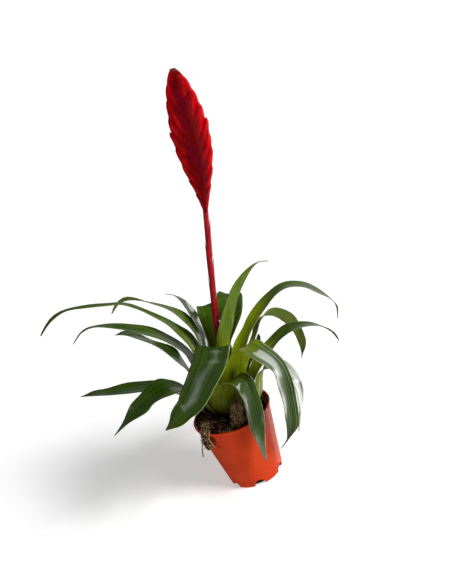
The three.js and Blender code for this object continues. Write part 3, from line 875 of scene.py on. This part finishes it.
def stalk_bract(at, along, start, hand):
    """A small bract that clasps the stalk and ends in a point on one side of it."""
    count = len(at)
    first = int(start * (count - 1))
    last = min(int((start + STALK_BRACT["length"]) * (count - 1)), count - 1)
    centre, line = at[first : last + 1], along[first : last + 1]
    t = np.linspace(0, 1, len(centre))
    out = beside(line)[0] * hand
    gap, more = STALK_BRACT["gaps"]
    gape = STALK_BRACT["gape"] * smoothstep(t, STALK_BRACT["gapes_from"], 1)
    radius = STALK["radius"] + gap + more * t + gape
    fold, less = STALK_BRACT["folds"]
    fold = fold - less * smoothstep(t, STALK_BRACT["unfolds_from"], 1)
    narrower = STALK_BRACT["narrows"] * smoothstep(t, STALK_BRACT["narrows_from"], 1)
    width = 2 * fold * radius * (1 - narrower)
    fold = np.maximum(np.minimum(fold, width / 2 / radius), LEAF["folds"][0])
    thick = np.full(len(t), STALK_BRACT["thickness"])
    thick[[0, -1]] = 0
    numbers = {"width": width * MM, "fold": fold, "thick": thick * MM, "wave": thick * 0}
    directions = {"side": leant(np.cross(-out, line)), "lift": leant(-out)}
    spine = spine_mesh(on_crown(centre + out * radius[:, None]), numbers, directions)
    inputs = {"Rows": STALK_BRACT["rows"], "Strips": STALK_BRACT["strips"], "Material": STALK_RED}
    return outward(grown(spine, BLADE, inputs))


def make_stalk():
    at, along = curve_through(STALK["path"], STALK["rows"])[:2]
    slim = smoothstep(np.linspace(0, 1, STALK["rows"]), *STALK["slims"])
    radii = STALK["foot_radius"] + (STALK["radius"] - STALK["foot_radius"]) * slim
    meshes = [tube(on_crown(at), leant(along), radii * MM, STALK["sides"])]
    for k, start in enumerate(STALK_BRACT["starts"]):
        meshes.append(stalk_bract(at, along, start, 1 if k % 2 else -1))
    whole = joined(meshes, "red_flower_stalk")
    add_piece("red_flower_stalk", whole, ["flower_stalk"], STALK_RED)


make_stalk()


# ---- Sword of bracts
SWORD = {
    "path": [(6.85, -2, 143.4), (7.4, -2, 160), (6.6, -2, 187), (4.6, -2, 212), (2.6, -2, 232)],
    "path_steps": 120,
    "length": 89,
    "widest": 11.1,
    "outline": [
        (0, 1.9), (14, 5.2), (30, 9.3), (45, 11.1), (58, 10.7), (70, 8.9), (80, 6.2), (86, 3.8),
        (89, 0.9),
    ],
    "half_thickness": 3.4,
    "axis_sides": 20,
    "axis_rows": 40,
    "axis_top": 80,
    "axis_radii": (0.06, 1.1),  # a share of the spike's width, and more
    "crease": 50,
}
# Height of each bract's tip above the spike's foot, the edge it stands on, how far its point
# stands off the spike, and how far it closes round it, as only the last one does wholly.
BRACTS = [
    (12, -1, 0, 0), (17, 1, 0, 0), (21.5, -1, 0.25, 0), (28, 1, 0, 0), (33, -1, 0, 0),
    (39, 1, 0.3, 0), (44, -1, 0.15, 0), (49, 1, 0, 0), (54, -1, 1, 0), (56.8, 1, 1, 0),
    (63.5, -1, 0.1, 0), (67, 1, 0.25, 0.05), (74, -1, 0.1, 0.1), (76, 1, 0.25, 0.2),
    (83, -1, 0, 0.2), (85, 1, 0.1, 0.4), (SWORD["length"], -1, 0, 1),
]
BRACT = {"Length": 42.0, "Thickness": 0.12, "Step": 1.8, "Rows": 64, "Strips": 26}
# How far a bract's keel stands off the spike's edge, from its foot to its tip.
KEEL = [(0, -1.2), (0.55, -1.0), (0.7, -0.5), (0.8, 0.3), (0.88, 0.6), (0.95, 0.1), (1, -0.8)]
KEEL_SPAN = (-1.2, 0.8)
# How far back over the spike's flat a bract's margin reaches, from its foot to its tip: 1 is
# its own edge of the spike, 0 the middle, and below 0 the far half.
MARGIN = [
    (0, -0.35), (0.2, -0.3), (0.4, -0.12), (0.6, 0.18), (0.75, 0.42), (0.88, 0.68),
    (0.96, 0.88), (1, 1),
]
MARGIN_SPAN = (-0.35, 1)
FIT = {
    "level": 0.74,  # where along a bract its layer neither sinks in nor stands out
    "closing_level": 0.35,  # how much further along that is on the last one
    "flares_from": 0.82,
    "flare": 1.5,
    "foot": 4.0,  # the height over which the spike's foot widens
    "foot_width": 0.9,
    "swells": (15.0, 60.0),  # the heights between which a keel comes to swell in full
    "least_swell": 0.3,
    "least_keel": 1.9,
    "least_reach": 0.05,
    "least_depth": 1.2,
    "least_layer": 1.8,
    "end": 0.02,  # the share of a bract's length in which it thins out at each end
    "tone_step": 0.37,
}


def bract_tree():
    """Boat-shaped bracts folded over the edge of a flat spike, one for each point given.

    A point carries tip (its tip's height), hand (which edge it stands on), flare and wrap
    (1 for the last bract, which closes round the spike). Heights run along Z, widths along X.
    """
    sizes = dict.fromkeys(("Length", "Thickness", "Step", "Depth"), "Float")
    g = geometry_tree("bracts in two rows", Rows="Int", Strips="Int", **sizes)
    grid, along, around = blade_grid(g, g.given("Rows"), g.given("Strips"))
    sheet = store(g, store(g, grid, "along", along), "around", around)
    spots = g.geo("MeshToPoints", Mesh=g.given("Geometry"))
    copies = g.geo("RealizeInstances", g.geo("InstanceOnPoints", Points=spots, Instance=sheet))
    along, around, tip, hand, flare, wrap = (
        attribute(g, name) for name in ("along", "around", "tip", "hand", "flare", "wrap")
    )
    across, face = wrapped_round(around)
    root = (tip - g.given("Length")).math("MAXIMUM", 0.0)
    height = root + along * (tip - root)
    share = height / SWORD["length"]
    edge = g.curve(SWORD["outline"], share, SWORD["length"], 0, SWORD["widest"])
    # Each bract lies over the ones above it, and its keel swells before its point folds in.
    closed = wrap.ramp(0.5, 1.0)
    layer = (along - FIT["level"] - closed * FIT["closing_level"]) * g.given("Step")
    point_out = flare * along.ramp(FIT["flares_from"], 1.0) * FIT["flare"]
    foot = height.ramp(0.0, FIT["foot"]).between(FIT["foot_width"], 1.0)
    swell = g.curve(KEEL, along, 1, *KEEL_SPAN)
    swell = swell * height.ramp(*FIT["swells"]).between(FIT["least_swell"], 1.0) * (1 - closed)
    keel = (edge + swell + point_out).math("MAXIMUM", FIT["least_keel"]) * foot
    reach = g.curve(MARGIN, along, 1, *MARGIN_SPAN)
    reach = reach.math("ARCCOSINE").math("MAXIMUM", FIT["least_reach"])
    angle = (reach * (1 - wrap) + wrap * math.pi) * across
    depth = (edge / SWORD["widest"]).between(FIT["least_depth"], g.given("Depth"))
    deep = (depth + layer).math("MAXIMUM", FIT["least_layer"]) * foot
    round_edge = (1 - across * across).math("MAXIMUM", 0.0) ** 0.5
    end_fade = along.ramp(0.0, FIT["end"]) * (1 - along).ramp(0.0, FIT["end"])
    inset = g.given("Thickness") * (0.5 - face * 0.5) * round_edge * end_fade
    sine, cosine = angle.math("SINE"), angle.math("COSINE")
    slope_x, slope_y = deep * cosine, keel * sine
    steep = (slope_x * slope_x + slope_y * slope_y + 1e-6) ** 0.5
    x = (keel * cosine - slope_x / steep * inset) * hand
    y = deep * sine - slope_y / steep * inset
    bracts = moved(g, copies, Position=g.xyz(x * MM, y * MM, height * MM))
    bracts = store(g, bracts, "wrapped", abs(angle) / (math.pi / 2))
    return closed_blade(g, bracts, across, along, 1e-6)


def points_mesh(numbers):
    """Points at the origin, one for each row of numbers that they carry."""
    mesh = bpy.data.meshes.new("spots")
    mesh.from_pydata([(0, 0, 0)] * len(numbers["tip"]), [], [])
    return carry(mesh, numbers)


def bend_to(mesh, path, steps, length):
    """Lays a mesh that stands along Z over a line: height becomes the way along it."""
    at, along = curve_through(path, steps)[:2]
    side, back = beside(along)
    places = np.linspace(0, length * MM, len(at))
    co = np.zeros(len(mesh.vertices) * 3)
    mesh.vertices.foreach_get("co", co)
    co = co.reshape(-1, 3)

    def here(rows):
        return np.stack([np.interp(co[:, 2], places, rows[:, k]) for k in range(3)], 1)

    over = np.clip(co[:, 2] - length * MM, 0, None)[:, None]
    local = here(at) * MM + here(side) * co[:, :1] + here(back) * co[:, 1:2] + here(along) * over
    mesh.vertices.foreach_set("co", on_crown(local / MM).ravel())
    mesh.update()


def make_sword():
    numbers = dict(zip(("tip", "hand", "flare", "wrap"), zip(*BRACTS)))
    numbers["tone"] = [k * FIT["tone_step"] % 1 for k in range(len(BRACTS))]
    inputs = {**BRACT, "Depth": SWORD["half_thickness"], "Material": BRACT_RED}
    spike = grown(points_mesh(numbers), bract_tree(), inputs)
    bend_to(spike, SWORD["path"], SWORD["path_steps"], SWORD["length"])
    outward(spike).set_sharp_from_angle(angle=math.radians(SWORD["crease"]))
    add_piece("red_sword_bracts", spike, ["flower_sword"])
    at, along = curve_through(SWORD["path"], SWORD["axis_rows"])[:2]
    heights = np.linspace(0, SWORD["length"], SWORD["axis_rows"])
    share, more = SWORD["axis_radii"]
    radii = np.interp(heights, *np.array(SWORD["outline"]).T) * share + more
    low = heights < SWORD["axis_top"]
    axis = tube(on_crown(at)[low], leant(along)[low], radii[low] * MM, SWORD["axis_sides"])
    add_piece("sword_axis", axis, material=STALK_RED)


make_sword()


# ---- Pot
POT = {
    "height": 52,
    "rim_radius": 27.5,
    "base_radius": 19,
    "wall": 0.9,
    "floor": 1.1,
    "lip_width": 0.6,
    "lip_height": 1.6,
    "notches": 6,
    "notch_width": 7.5,
    "notch_height": 4.6,
    "notch_depth": 3.6,
    "arch_points": 17,
    "sides": 160,
    "crease": 35,
}
CENTRE = 0.05  # the radius at which a turned outline closes at the axis


def outer_radius(z):
    widening = POT["rim_radius"] - POT["lip_width"] - POT["base_radius"]
    return POT["base_radius"] + widening * z / POT["height"]


def inner_radius(z):
    return outer_radius(z) - POT["wall"]


def arch_cutter(angle):
    """A drainage arch, as a block to take out of the pot's foot."""
    half = POT["notch_width"] / 2
    straight = POT["notch_height"] - half
    arch = np.linspace(0, math.pi, POT["arch_points"])
    outline = [(-half, -1), (half, -1)]
    outline += [(half * math.cos(a), straight + half * math.sin(a)) for a in arch]
    near, far = POT["base_radius"] - POT["notch_depth"], POT["base_radius"] + 4
    count = len(outline)
    points = [(near, x, z) for x, z in outline] + [(far, x, z) for x, z in outline]
    faces = [tuple(range(count))[::-1], tuple(range(count, 2 * count))]
    for j in range(count):
        k = (j + 1) % count
        faces.append((j, k, k + count, j + count))
    turn = Matrix.Rotation(angle, 4, "Z")
    return [turn @ (Vector(p) * MM) for p in points], faces


def pot_profile():
    """The wall's outline as (radius, height), from the foot up the outside and down inside."""
    h, foot, edge = POT["height"], POT["base_radius"], POT["rim_radius"]
    lip, floor = h - POT["lip_height"], POT["floor"]
    wall = [(outer_radius(z), z) for z in (h * 0.4, h * 0.8, lip - 0.1)]
    inside = [(inner_radius(z), z) for z in (h * 0.5, floor + 1)]
    return [
        (foot - 1, 0), (foot - 0.3, 0.12), (foot, 0.5), *wall,
        (edge - 0.12, lip + 0.3), (edge, lip + 0.6), (edge, h - 0.3), (edge - 0.25, h),
        (inner_radius(h) + 0.25, h), (inner_radius(h), h - 0.3), *inside,
        (inner_radius(floor) - 1, floor), (CENTRE, floor), (CENTRE, 0),
    ]


def make_pot():
    profile = pot_profile()
    angles = angles_round(POT["sides"])
    rings = [(r * MM, z * MM) for r, z in profile]
    points = [(r * math.cos(a), r * math.sin(a), z) for r, z in rings for a in angles]
    faces = ring_faces(len(profile), POT["sides"], closed=True)
    pot = placed("pot_blank", outward(mesh_of("pot_blank", points, faces)))
    cut_points, cut_faces = [], []
    for k in range(POT["notches"]):
        points, faces = arch_cutter(2 * math.pi * (k + 0.5) / POT["notches"])
        cut_faces += [tuple(i + len(cut_points) for i in f) for f in faces]
        cut_points += points
    cutter = placed("arches", outward(mesh_of("arches", cut_points, cut_faces, False)))
    cut = pot.modifiers.new("arches", "BOOLEAN")
    cut.operation = "DIFFERENCE"
    cut.solver = "EXACT"
    cut.object = cutter
    mesh = baked(pot)
    bpy.data.objects.remove(cutter)
    mesh.polygons.foreach_set("use_smooth", [True] * len(mesh.polygons))
    mesh.set_sharp_from_angle(angle=math.radians(POT["crease"]))
    add_piece("nursery_pot", mesh, ["pot"], POT_PLASTIC)


make_pot()


# ---- Potting mix
MIX = {
    "below_rim": 1.6,
    "mound_top": 4.9,
    "slope": 0.45,  # how far in from the wall the mound rises, as a share of the way
    "roughness": 0.5,
    "waves": [(1.7, 0.6, 0), (-0.9, 1.3, 1), (0.7, 2.1, 0)],
    "grit": 0.9,
    "grit_fineness": 0.7,
    "heaps": [(-14.5, -18, 6, 5.5), (22, -6, 4.5, 4), (2, -20.5, 5, 2)],  # x, y, radius, height
    "rings": 70,
    "sectors": 220,
    "middle": 0.4,
    "side": 1.5,
    "floor": 1.4,
    "gap": 0.3,
}
# Lumps that stand on the mix or hang over the rim: a path up or down, and the widest radius.
COIR_CLUMP = {
    "path": [(1.2, -20.2, 48), (2.6, -20.8, 56), (4.6, -21.2, 62), (7.2, -21.4, 69.5)],
    "radius": 3.3,
}
SPILL = {
    "path": [(-15, -13, 54), (-19.6, -17, 56), (-21.8, -18.4, 52), (-22.2, -18.4, 41)],
    "radius": 2.2,
}
LUMP = {"rings": 48, "sides": 36, "relief": 0.9, "fineness": 0.45, "blunt_end": 0.0004}
PALE_ROOTS = [
    [(-20, -17, 55), (-23.5, -17.5, 52), (-25.5, -16, 46), (-27.5, -14, 40), (-29, -13, 34)],
    [(-17, -20, 55), (-19.5, -21.6, 51), (-19.5, -20.5, 46), (-18.4, -20.6, 42)],
]
ROOT = {"radii": (0.3, 0.45), "rings": 40, "sides": 12}


def mix_height(x, y, f):
    """Height of the mix at a place; f runs from 0 at the pot's wall to 1 at the stem."""
    fall = (x - CROWN_ORIGIN.x) * math.tan(LEAN)
    top = CROWN_ORIGIN.z + MIX["mound_top"] * math.cos(LEAN) - fall
    edge = POT["height"] - MIX["below_rim"]
    waves = sum(math.sin(a * x + b * y + c) for a, b, c in MIX["waves"])
    slope = float(smoothstep(f, 0, MIX["slope"]))
    heap = sum(h * math.exp(-((x - a) ** 2 + (y - b) ** 2) / r**2) for a, b, r, h in MIX["heaps"])
    grit = noise.fractal(Vector((x, y, 3)) * MIX["grit_fineness"], 0.8, 2.1, 5) * MIX["grit"]
    return edge + (top - edge) * slope + (MIX["roughness"] * waves + heap) * (1 - slope) + grit


def make_mix():
    """The mound of mix, with a plain side and floor inside the pot."""
    rings, sectors, floor = MIX["rings"], MIX["sectors"], MIX["floor"]
    hole_x = CROWN_ORIGIN.x + MIX["mound_top"] * math.sin(LEAN)
    hole_y = CROWN_ORIGIN.y
    edge = POT["height"] - MIX["below_rim"]
    rim = inner_radius(edge) - MIX["gap"]
    foot = inner_radius(floor) - MIX["gap"]
    angles = angles_round(sectors)
    below = ((CENTRE, floor), (foot, floor), (rim, edge - MIX["side"]))
    rows = [[(r * math.cos(a), r * math.sin(a), z) for a in angles] for r, z in below]
    for f in (i / (rings - 1) for i in range(rings)):
        radius = rim + (MIX["middle"] - rim) * f
        spots = [(hole_x * f + radius * math.cos(a), hole_y * f + radius * math.sin(a)) for a in angles]
        rows.append([(x, y, mix_height(x, y, f)) for x, y in spots])
    points = [Vector(p) * MM for row in rows for p in row]
    faces = ring_faces(len(rows), sectors)
    faces.append(tuple(range(sectors))[::-1])
    last = (len(rows) - 1) * sectors
    faces.append(tuple(range(last, last + sectors)))
    mesh = outward(mesh_of("potting_mix_mound", points, faces))
    add_piece("potting_mix_mound", mesh, ["potting_mix"], DARK_MIX)
    return mesh


TURN = 6.28
ON_TOP = 0.25  # the least part of a face's direction that points up where litter lies
ANYWHERE = -2.0
CRUMB = {"bumps": 1.7, "least": 0.45, "swell": 1.1, "rarity": 2.5}
FIBRE = {
    "points": 8,
    "sides": 4,
    "rolls": (-0.5, 0.5),
    "tips_up": (-1.6, 0.6),
    "lengths": (0.35, 1.0),
    "curl": 0.75,
    "curls": 190.0,
    "middle": (0.5, 0.5, 0.42),  # the noise that leaves a point where it is
}
BED = (0, 0, 25.6)  # x, y and reach of the mix that litter lies on
RIGHT_HEAP = (22, -5, 5.5)
BED_LOWEST = 45
BED_LEAST_UP = 0.2


def scattered(g):
    """Points at random on the tree's own geometry, where it faces up enough."""
    up = g.parts(g.geo("InputNormal")).other("Z")
    compare = {"data_type": "FLOAT", "operation": "GREATER_THAN"}
    faces = g.node("FunctionNodeCompare", A=up, B=g.given("Least Up"), **compare)
    scatter = {"Density": g.given("Density"), "Seed": g.given("Seed"), "Selection": faces}
    scatter["distribute_method"] = "RANDOM"
    return g.geo("DistributePointsOnFaces", Mesh=g.given("Geometry"), **scatter)


def chance(g, step, low, high, kind="FLOAT"):
    """A number or direction drawn for each point, from the tree's seed and its own step."""
    sockets = {"Min": low, "Max": high, "Seed": g.given("Seed") + step}
    return g.node("FunctionNodeRandomValue", output="Value", data_type=kind, **sockets)


def litter_tree(name, *sizes):
    """A tree that scatters things over a surface, with their own sizes."""
    sizes = dict.fromkeys((*sizes, "Density", "Least Up"), "Float")
    return geometry_tree(name, Seed="Int", **sizes)


def crumb_tree():
    """Small rough lumps scattered over a surface."""
    g = litter_tree("scattered crumbs", "Smallest", "Largest", "Flatness")
    spots = scattered(g)
    lump = g.geo("MeshIcoSphere", Radius=1.0, Subdivisions=1)
    here = g.geo("InputPosition")
    rough = g.node("ShaderNodeTexNoise", Vector=here, Scale=CRUMB["bumps"], Detail=1.0)
    swell = rough * CRUMB["swell"] + CRUMB["least"]
    lump = moved(g, lump, Position=g.scaled(here, swell))
    turn = chance(g, 1, (0, 0, 0), (TURN, TURN, TURN), "FLOAT_VECTOR")
    pick = chance(g, 7, 0.0, 1.0)
    size = pick ** CRUMB["rarity"] * (g.given("Largest") - g.given("Smallest"))
    size = size + g.given("Smallest")
    flat = size * g.given("Flatness")
    size = g.xyz(size, flat, flat)
    copies = {"Points": spots, "Instance": lump, "Rotation": turn, "Scale": size}
    return finish_tree(g, g.geo("InstanceOnPoints", **copies))


def fibre_tree():
    """Thin curled fibres that lie over a surface."""
    g = litter_tree("loose fibres", "Length", "Radius", "Rise")
    spots = scattered(g)
    line = g.geo("CurvePrimitiveLine", Start=(-0.5, 0, 0), End=(0.5, 0, 0))
    line = g.geo("ResampleCurve", Curve=line, Count=FIBRE["points"])
    tip_up = g.given("Rise") * chance(g, 5, *FIBRE["tips_up"])
    turn = g.xyz(chance(g, 3, *FIBRE["rolls"]), tip_up, chance(g, 9, 0.0, TURN))
    length = g.given("Length") * chance(g, 11, *FIBRE["lengths"])
    size = g.xyz(length, length, length)
    lines = {"Points": spots, "Instance": line, "Rotation": turn, "Scale": size}
    lines = g.geo("RealizeInstances", g.geo("InstanceOnPoints", **lines))
    here = g.geo("InputPosition")
    curl = {"Vector": here, "Scale": FIBRE["curls"], "Detail": 1.0}
    curl = g.node("ShaderNodeTexNoise", output="Color", **curl)
    curl = g.vector("SUBTRACT", curl, FIBRE["middle"])
    lines = moved(g, lines, Offset=g.scaled(curl, g.given("Length") * FIBRE["curl"]))
    ring = g.geo("CurvePrimitiveCircle", Resolution=FIBRE["sides"], Radius=g.given("Radius"))
    strands = g.geo("CurveToMesh", Curve=lines, Profile_Curve=ring, Fill_Caps=True)
    return finish_tree(g, strands)


CRUMBS = crumb_tree()
FIBRES = fibre_tree()


def crumbs(material, density, seed, smallest, largest, flatness=0.7, least_up=ANYWHERE):
    """The crumb tree, and what it is given: so many to the square metre, of such sizes."""
    sizes = {"Smallest": smallest * MM, "Largest": largest * MM, "Flatness": flatness}
    place = {"Density": density, "Seed": seed, "Least Up": least_up}
    return CRUMBS, {**sizes, **place, "Material": material}


def fibres(material, density, seed, length, rise, radius=0.08, least_up=ANYWHERE):
    """The fibre tree, and what it is given."""
    sizes = {"Length": length * MM, "Radius": radius * MM, "Rise": rise}
    place = {"Density": density, "Seed": seed, "Least Up": least_up}
    return FIBRES, {**sizes, **place, "Material": material}


def top_of(mesh, x, y, reach):
    """The part of a surface that faces up within reach of a place."""
    work = bmesh.new()
    work.from_mesh(mesh)
    gone = []
    for face in work.faces:
        at = face.calc_center_median() / MM
        outside = math.hypot(at.x - x, at.y - y) >= reach or at.z <= BED_LOWEST
        if face.normal.z < BED_LEAST_UP or outside:
            gone.append(face)
    bmesh.ops.delete(work, geom=gone, context="FACES")
    part = bpy.data.meshes.new("bed")
    work.to_mesh(part)
    work.free()
    return part


def wall_patch(first, last, low, high):
    """A patch of the pot's outside between two angles and two heights."""
    columns, rows = 9, 5
    angles = np.radians(np.linspace(first, last, columns))
    points = [
        (outer_radius(z) * math.cos(a) * MM, outer_radius(z) * math.sin(a) * MM, z * MM)
        for z in np.linspace(low, high, rows)
        for a in angles
    ]
    cells = [columns * i + j for i in range(rows - 1) for j in range(columns - 1)]
    faces = [(c, c + 1, c + 1 + columns, c + columns) for c in cells]
    return mesh_of("bed", points, faces)


def lump_along(lump, name):
    """A round-ended body along a path, with a rough skin."""
    at, along = curve_through(lump["path"], LUMP["rings"])[:2]
    ends = np.abs(np.linspace(-1, 1, LUMP["rings"]))
    radii = lump["radius"] * np.sqrt(np.maximum(1 - ends**5, LUMP["blunt_end"]))
    mesh = tube(at * MM, along, radii * MM, LUMP["sides"])
    for vertex in mesh.vertices:
        swell = noise.fractal(vertex.co / MM * LUMP["fineness"], 0.9, 2.0, 4)
        vertex.co += vertex.normal * swell * LUMP["relief"] * MM
    mesh.update()
    mesh.name = name
    return mesh


def make_litter(mound):
    """Crumbs, bark chips and fibres on the mix, the coir clump, and what hangs over the rim."""
    bed = top_of(mound, *BED)
    clump = lump_along(COIR_CLUMP, "coir_clump")
    spill = lump_along(SPILL, "soil_spill")
    right_wall = wall_patch(311, 325, 42, 50)
    left_wall = wall_patch(206, 232, 40, 50)
    right_heap = top_of(mound, *RIGHT_HEAP)
    chips = crumbs(BARK, 1.0e5, 5, 0.5, 2.2, flatness=0.5, least_up=ON_TOP)
    brown = fibres(BARK, 9.0e4, 6, 9, 0.6, radius=0.11, least_up=ON_TOP)
    plans = [
        ("dark_crumbs", bed, crumbs(DARK_MIX, 9.0e5, 3, 0.3, 1.4, least_up=ON_TOP)),
        ("bark_chips", bed, chips),
        ("bark_debris", right_heap, crumbs(BARK, 1.4e6, 15, 0.4, 1.8, least_up=ON_TOP)),
        ("coir_crumbs", clump, crumbs(COIR, 2.2e6, 8, 0.4, 1.5)),
        ("coir_fibres", clump, fibres(PALE_ROOT, 3.0e5, 2, 6, 1.2)),
        ("spill_crumbs", spill, crumbs(COIR, 1.6e6, 9, 0.2, 0.9)),
        ("spill_fibres", spill, fibres(PALE_ROOT, 6.0e5, 21, 7, 1.2)),
        ("wall_crumbs", right_wall, crumbs(BARK, 4.0e5, 12, 0.2, 0.9)),
        ("wall_dust", left_wall, crumbs(DARK_MIX, 7.0e5, 14, 0.2, 0.9)),
        ("pale_fibres", bed, fibres(PALE_ROOT, 1.1e5, 4, 11, 0.6, least_up=ON_TOP)),
        ("brown_fibres", bed, brown),
    ]
    for name, ground, (tree, inputs) in plans:
        add_piece(name, grown(ground.copy(), tree, inputs))
    add_piece("coir_clump", clump, material=COIR)
    add_piece("soil_spill", spill, material=DARK_MIX)
    for k, path in enumerate(PALE_ROOTS, 1):
        at, along = curve_through(path, ROOT["rings"])[:2]
        radii = np.linspace(*ROOT["radii"], ROOT["rings"])
        root = tube(at * MM, along, radii * MM, ROOT["sides"])
        add_piece(f"pale_root_{k}", root, material=PALE_ROOT)


make_litter(make_mix())


# ---- Floor and light
STAGE = {"far": 8.0, "floor": -0.0003, "floor_grey": 0.86, "floor_glow": 0.46}


def stage_sheet(name, points, faces, material):
    sheet = placed(name, mesh_of(name, points, faces, False))
    sheet.data.materials.append(material)
    sheet.visible_glossy = False
    sheet.visible_shadow = False
    return sheet


def glowing_material(name, grey, roughness, strength, specular):
    material, g = new_material(name)
    glow = {"Emission_Color": (1, 1, 1, 1), "Emission_Strength": strength}
    principled(g, (grey, grey, grey, 1), roughness, Specular_IOR_Level=specular, **glow)
    return material


def make_stage():
    """A wide pale floor, and white walls far off on all sides that light nothing."""
    far = STAGE["far"]
    corners = [(-far, -far), (far, -far), (far, far), (-far, far)]
    low = [(x, y, STAGE["floor"]) for x, y in corners]
    high = [(x, y, far) for x, y in corners]
    pale = glowing_material("pale floor", STAGE["floor_grey"], 0.9, STAGE["floor_glow"], 0.1)
    stage_sheet("floor", low, [(0, 1, 2, 3)], pale)
    sides = [(k, (k + 1) % 4, (k + 1) % 4 + 4, k + 4) for k in range(4)]
    white = glowing_material("white wall", 0, 1.0, 1.0, 0.5)
    walls = stage_sheet("walls", low + high, sides, white)
    walls.visible_diffuse = False


PLANT_CENTRE = (0.02, 0, 0.11)
SUN = {"towards": (0.6, -0.5, 0.65), "strength": 3.0, "spread": 20}
DIM, BRIGHT = 0.08, 0.5
# Panels that glossy surfaces mirror and that light nothing else: the direction of each from
# the plant, its distance, its width and height in metres, and its brightness.
PANELS = {
    "right panel": ((0.978, 0.208, 0.03), 1.2, (0.78, 1.4), 3.5),
    "low panel": ((0.67, 0.47, -0.57), 1.2, (0.8, 0.6), 3.0),
    "front panel": ((0.3, -0.87, -0.38), 1.2, (0.3, 0.8), 1.4),
    "upper panel": ((-0.2, 0.0, 0.98), 1.2, (0.28, 0.28), 1.0),
}


def make_light(name, kind, energy, towards):
    """A light that shines from the side that towards points at."""
    data = bpy.data.lights.new(name, kind)
    data.energy = energy
    light = placed(name, data)
    light.rotation_euler = Vector(towards).to_track_quat("Z", "Y").to_euler()
    return light


def mirrored_panel(name, way, distance, size, brightness):
    energy = brightness * size[0] * size[1] * math.pi
    towards = Vector(way).normalized()
    light = make_light(name, "AREA", energy, towards)
    light.data.shape = "RECTANGLE"
    light.data.size, light.data.size_y = size
    light.location = Vector(PLANT_CENTRE) + towards * distance
    light.visible_diffuse = False


def sun_light(towards, strength, spread):
    """Soft light from far away."""
    light = make_light("main light", "SUN", strength, towards)
    light.data.angle = math.radians(spread)
    light.visible_glossy = False


def make_sky():
    """A dim room, brighter low down behind the plant and to its right."""
    world = bpy.data.worlds.new("soft room")
    world.use_nodes = True
    g = Graph(world.node_tree)
    way = g.parts(g.node("ShaderNodeTexCoord", output="Generated"))
    behind = (way.other("Y") * 0.55 + way * 0.83).ramp(0.35, 0.75)
    low = way.other("Z").ramp(0.5, 0.05)
    colour = g.blend(behind * low, (DIM, DIM, DIM, 1), (BRIGHT, BRIGHT, BRIGHT, 1))
    light = g.node("ShaderNodeBackground", Color=colour, Strength=1.0)
    g.node("ShaderNodeOutputWorld", Surface=light)
    bpy.context.scene.world = world


make_stage()
make_sky()
sun_light(**SUN)
for panel, numbers in PANELS.items():
    mirrored_panel(panel, *numbers)
bpy.context.scene.view_settings.view_transform = "Standard"
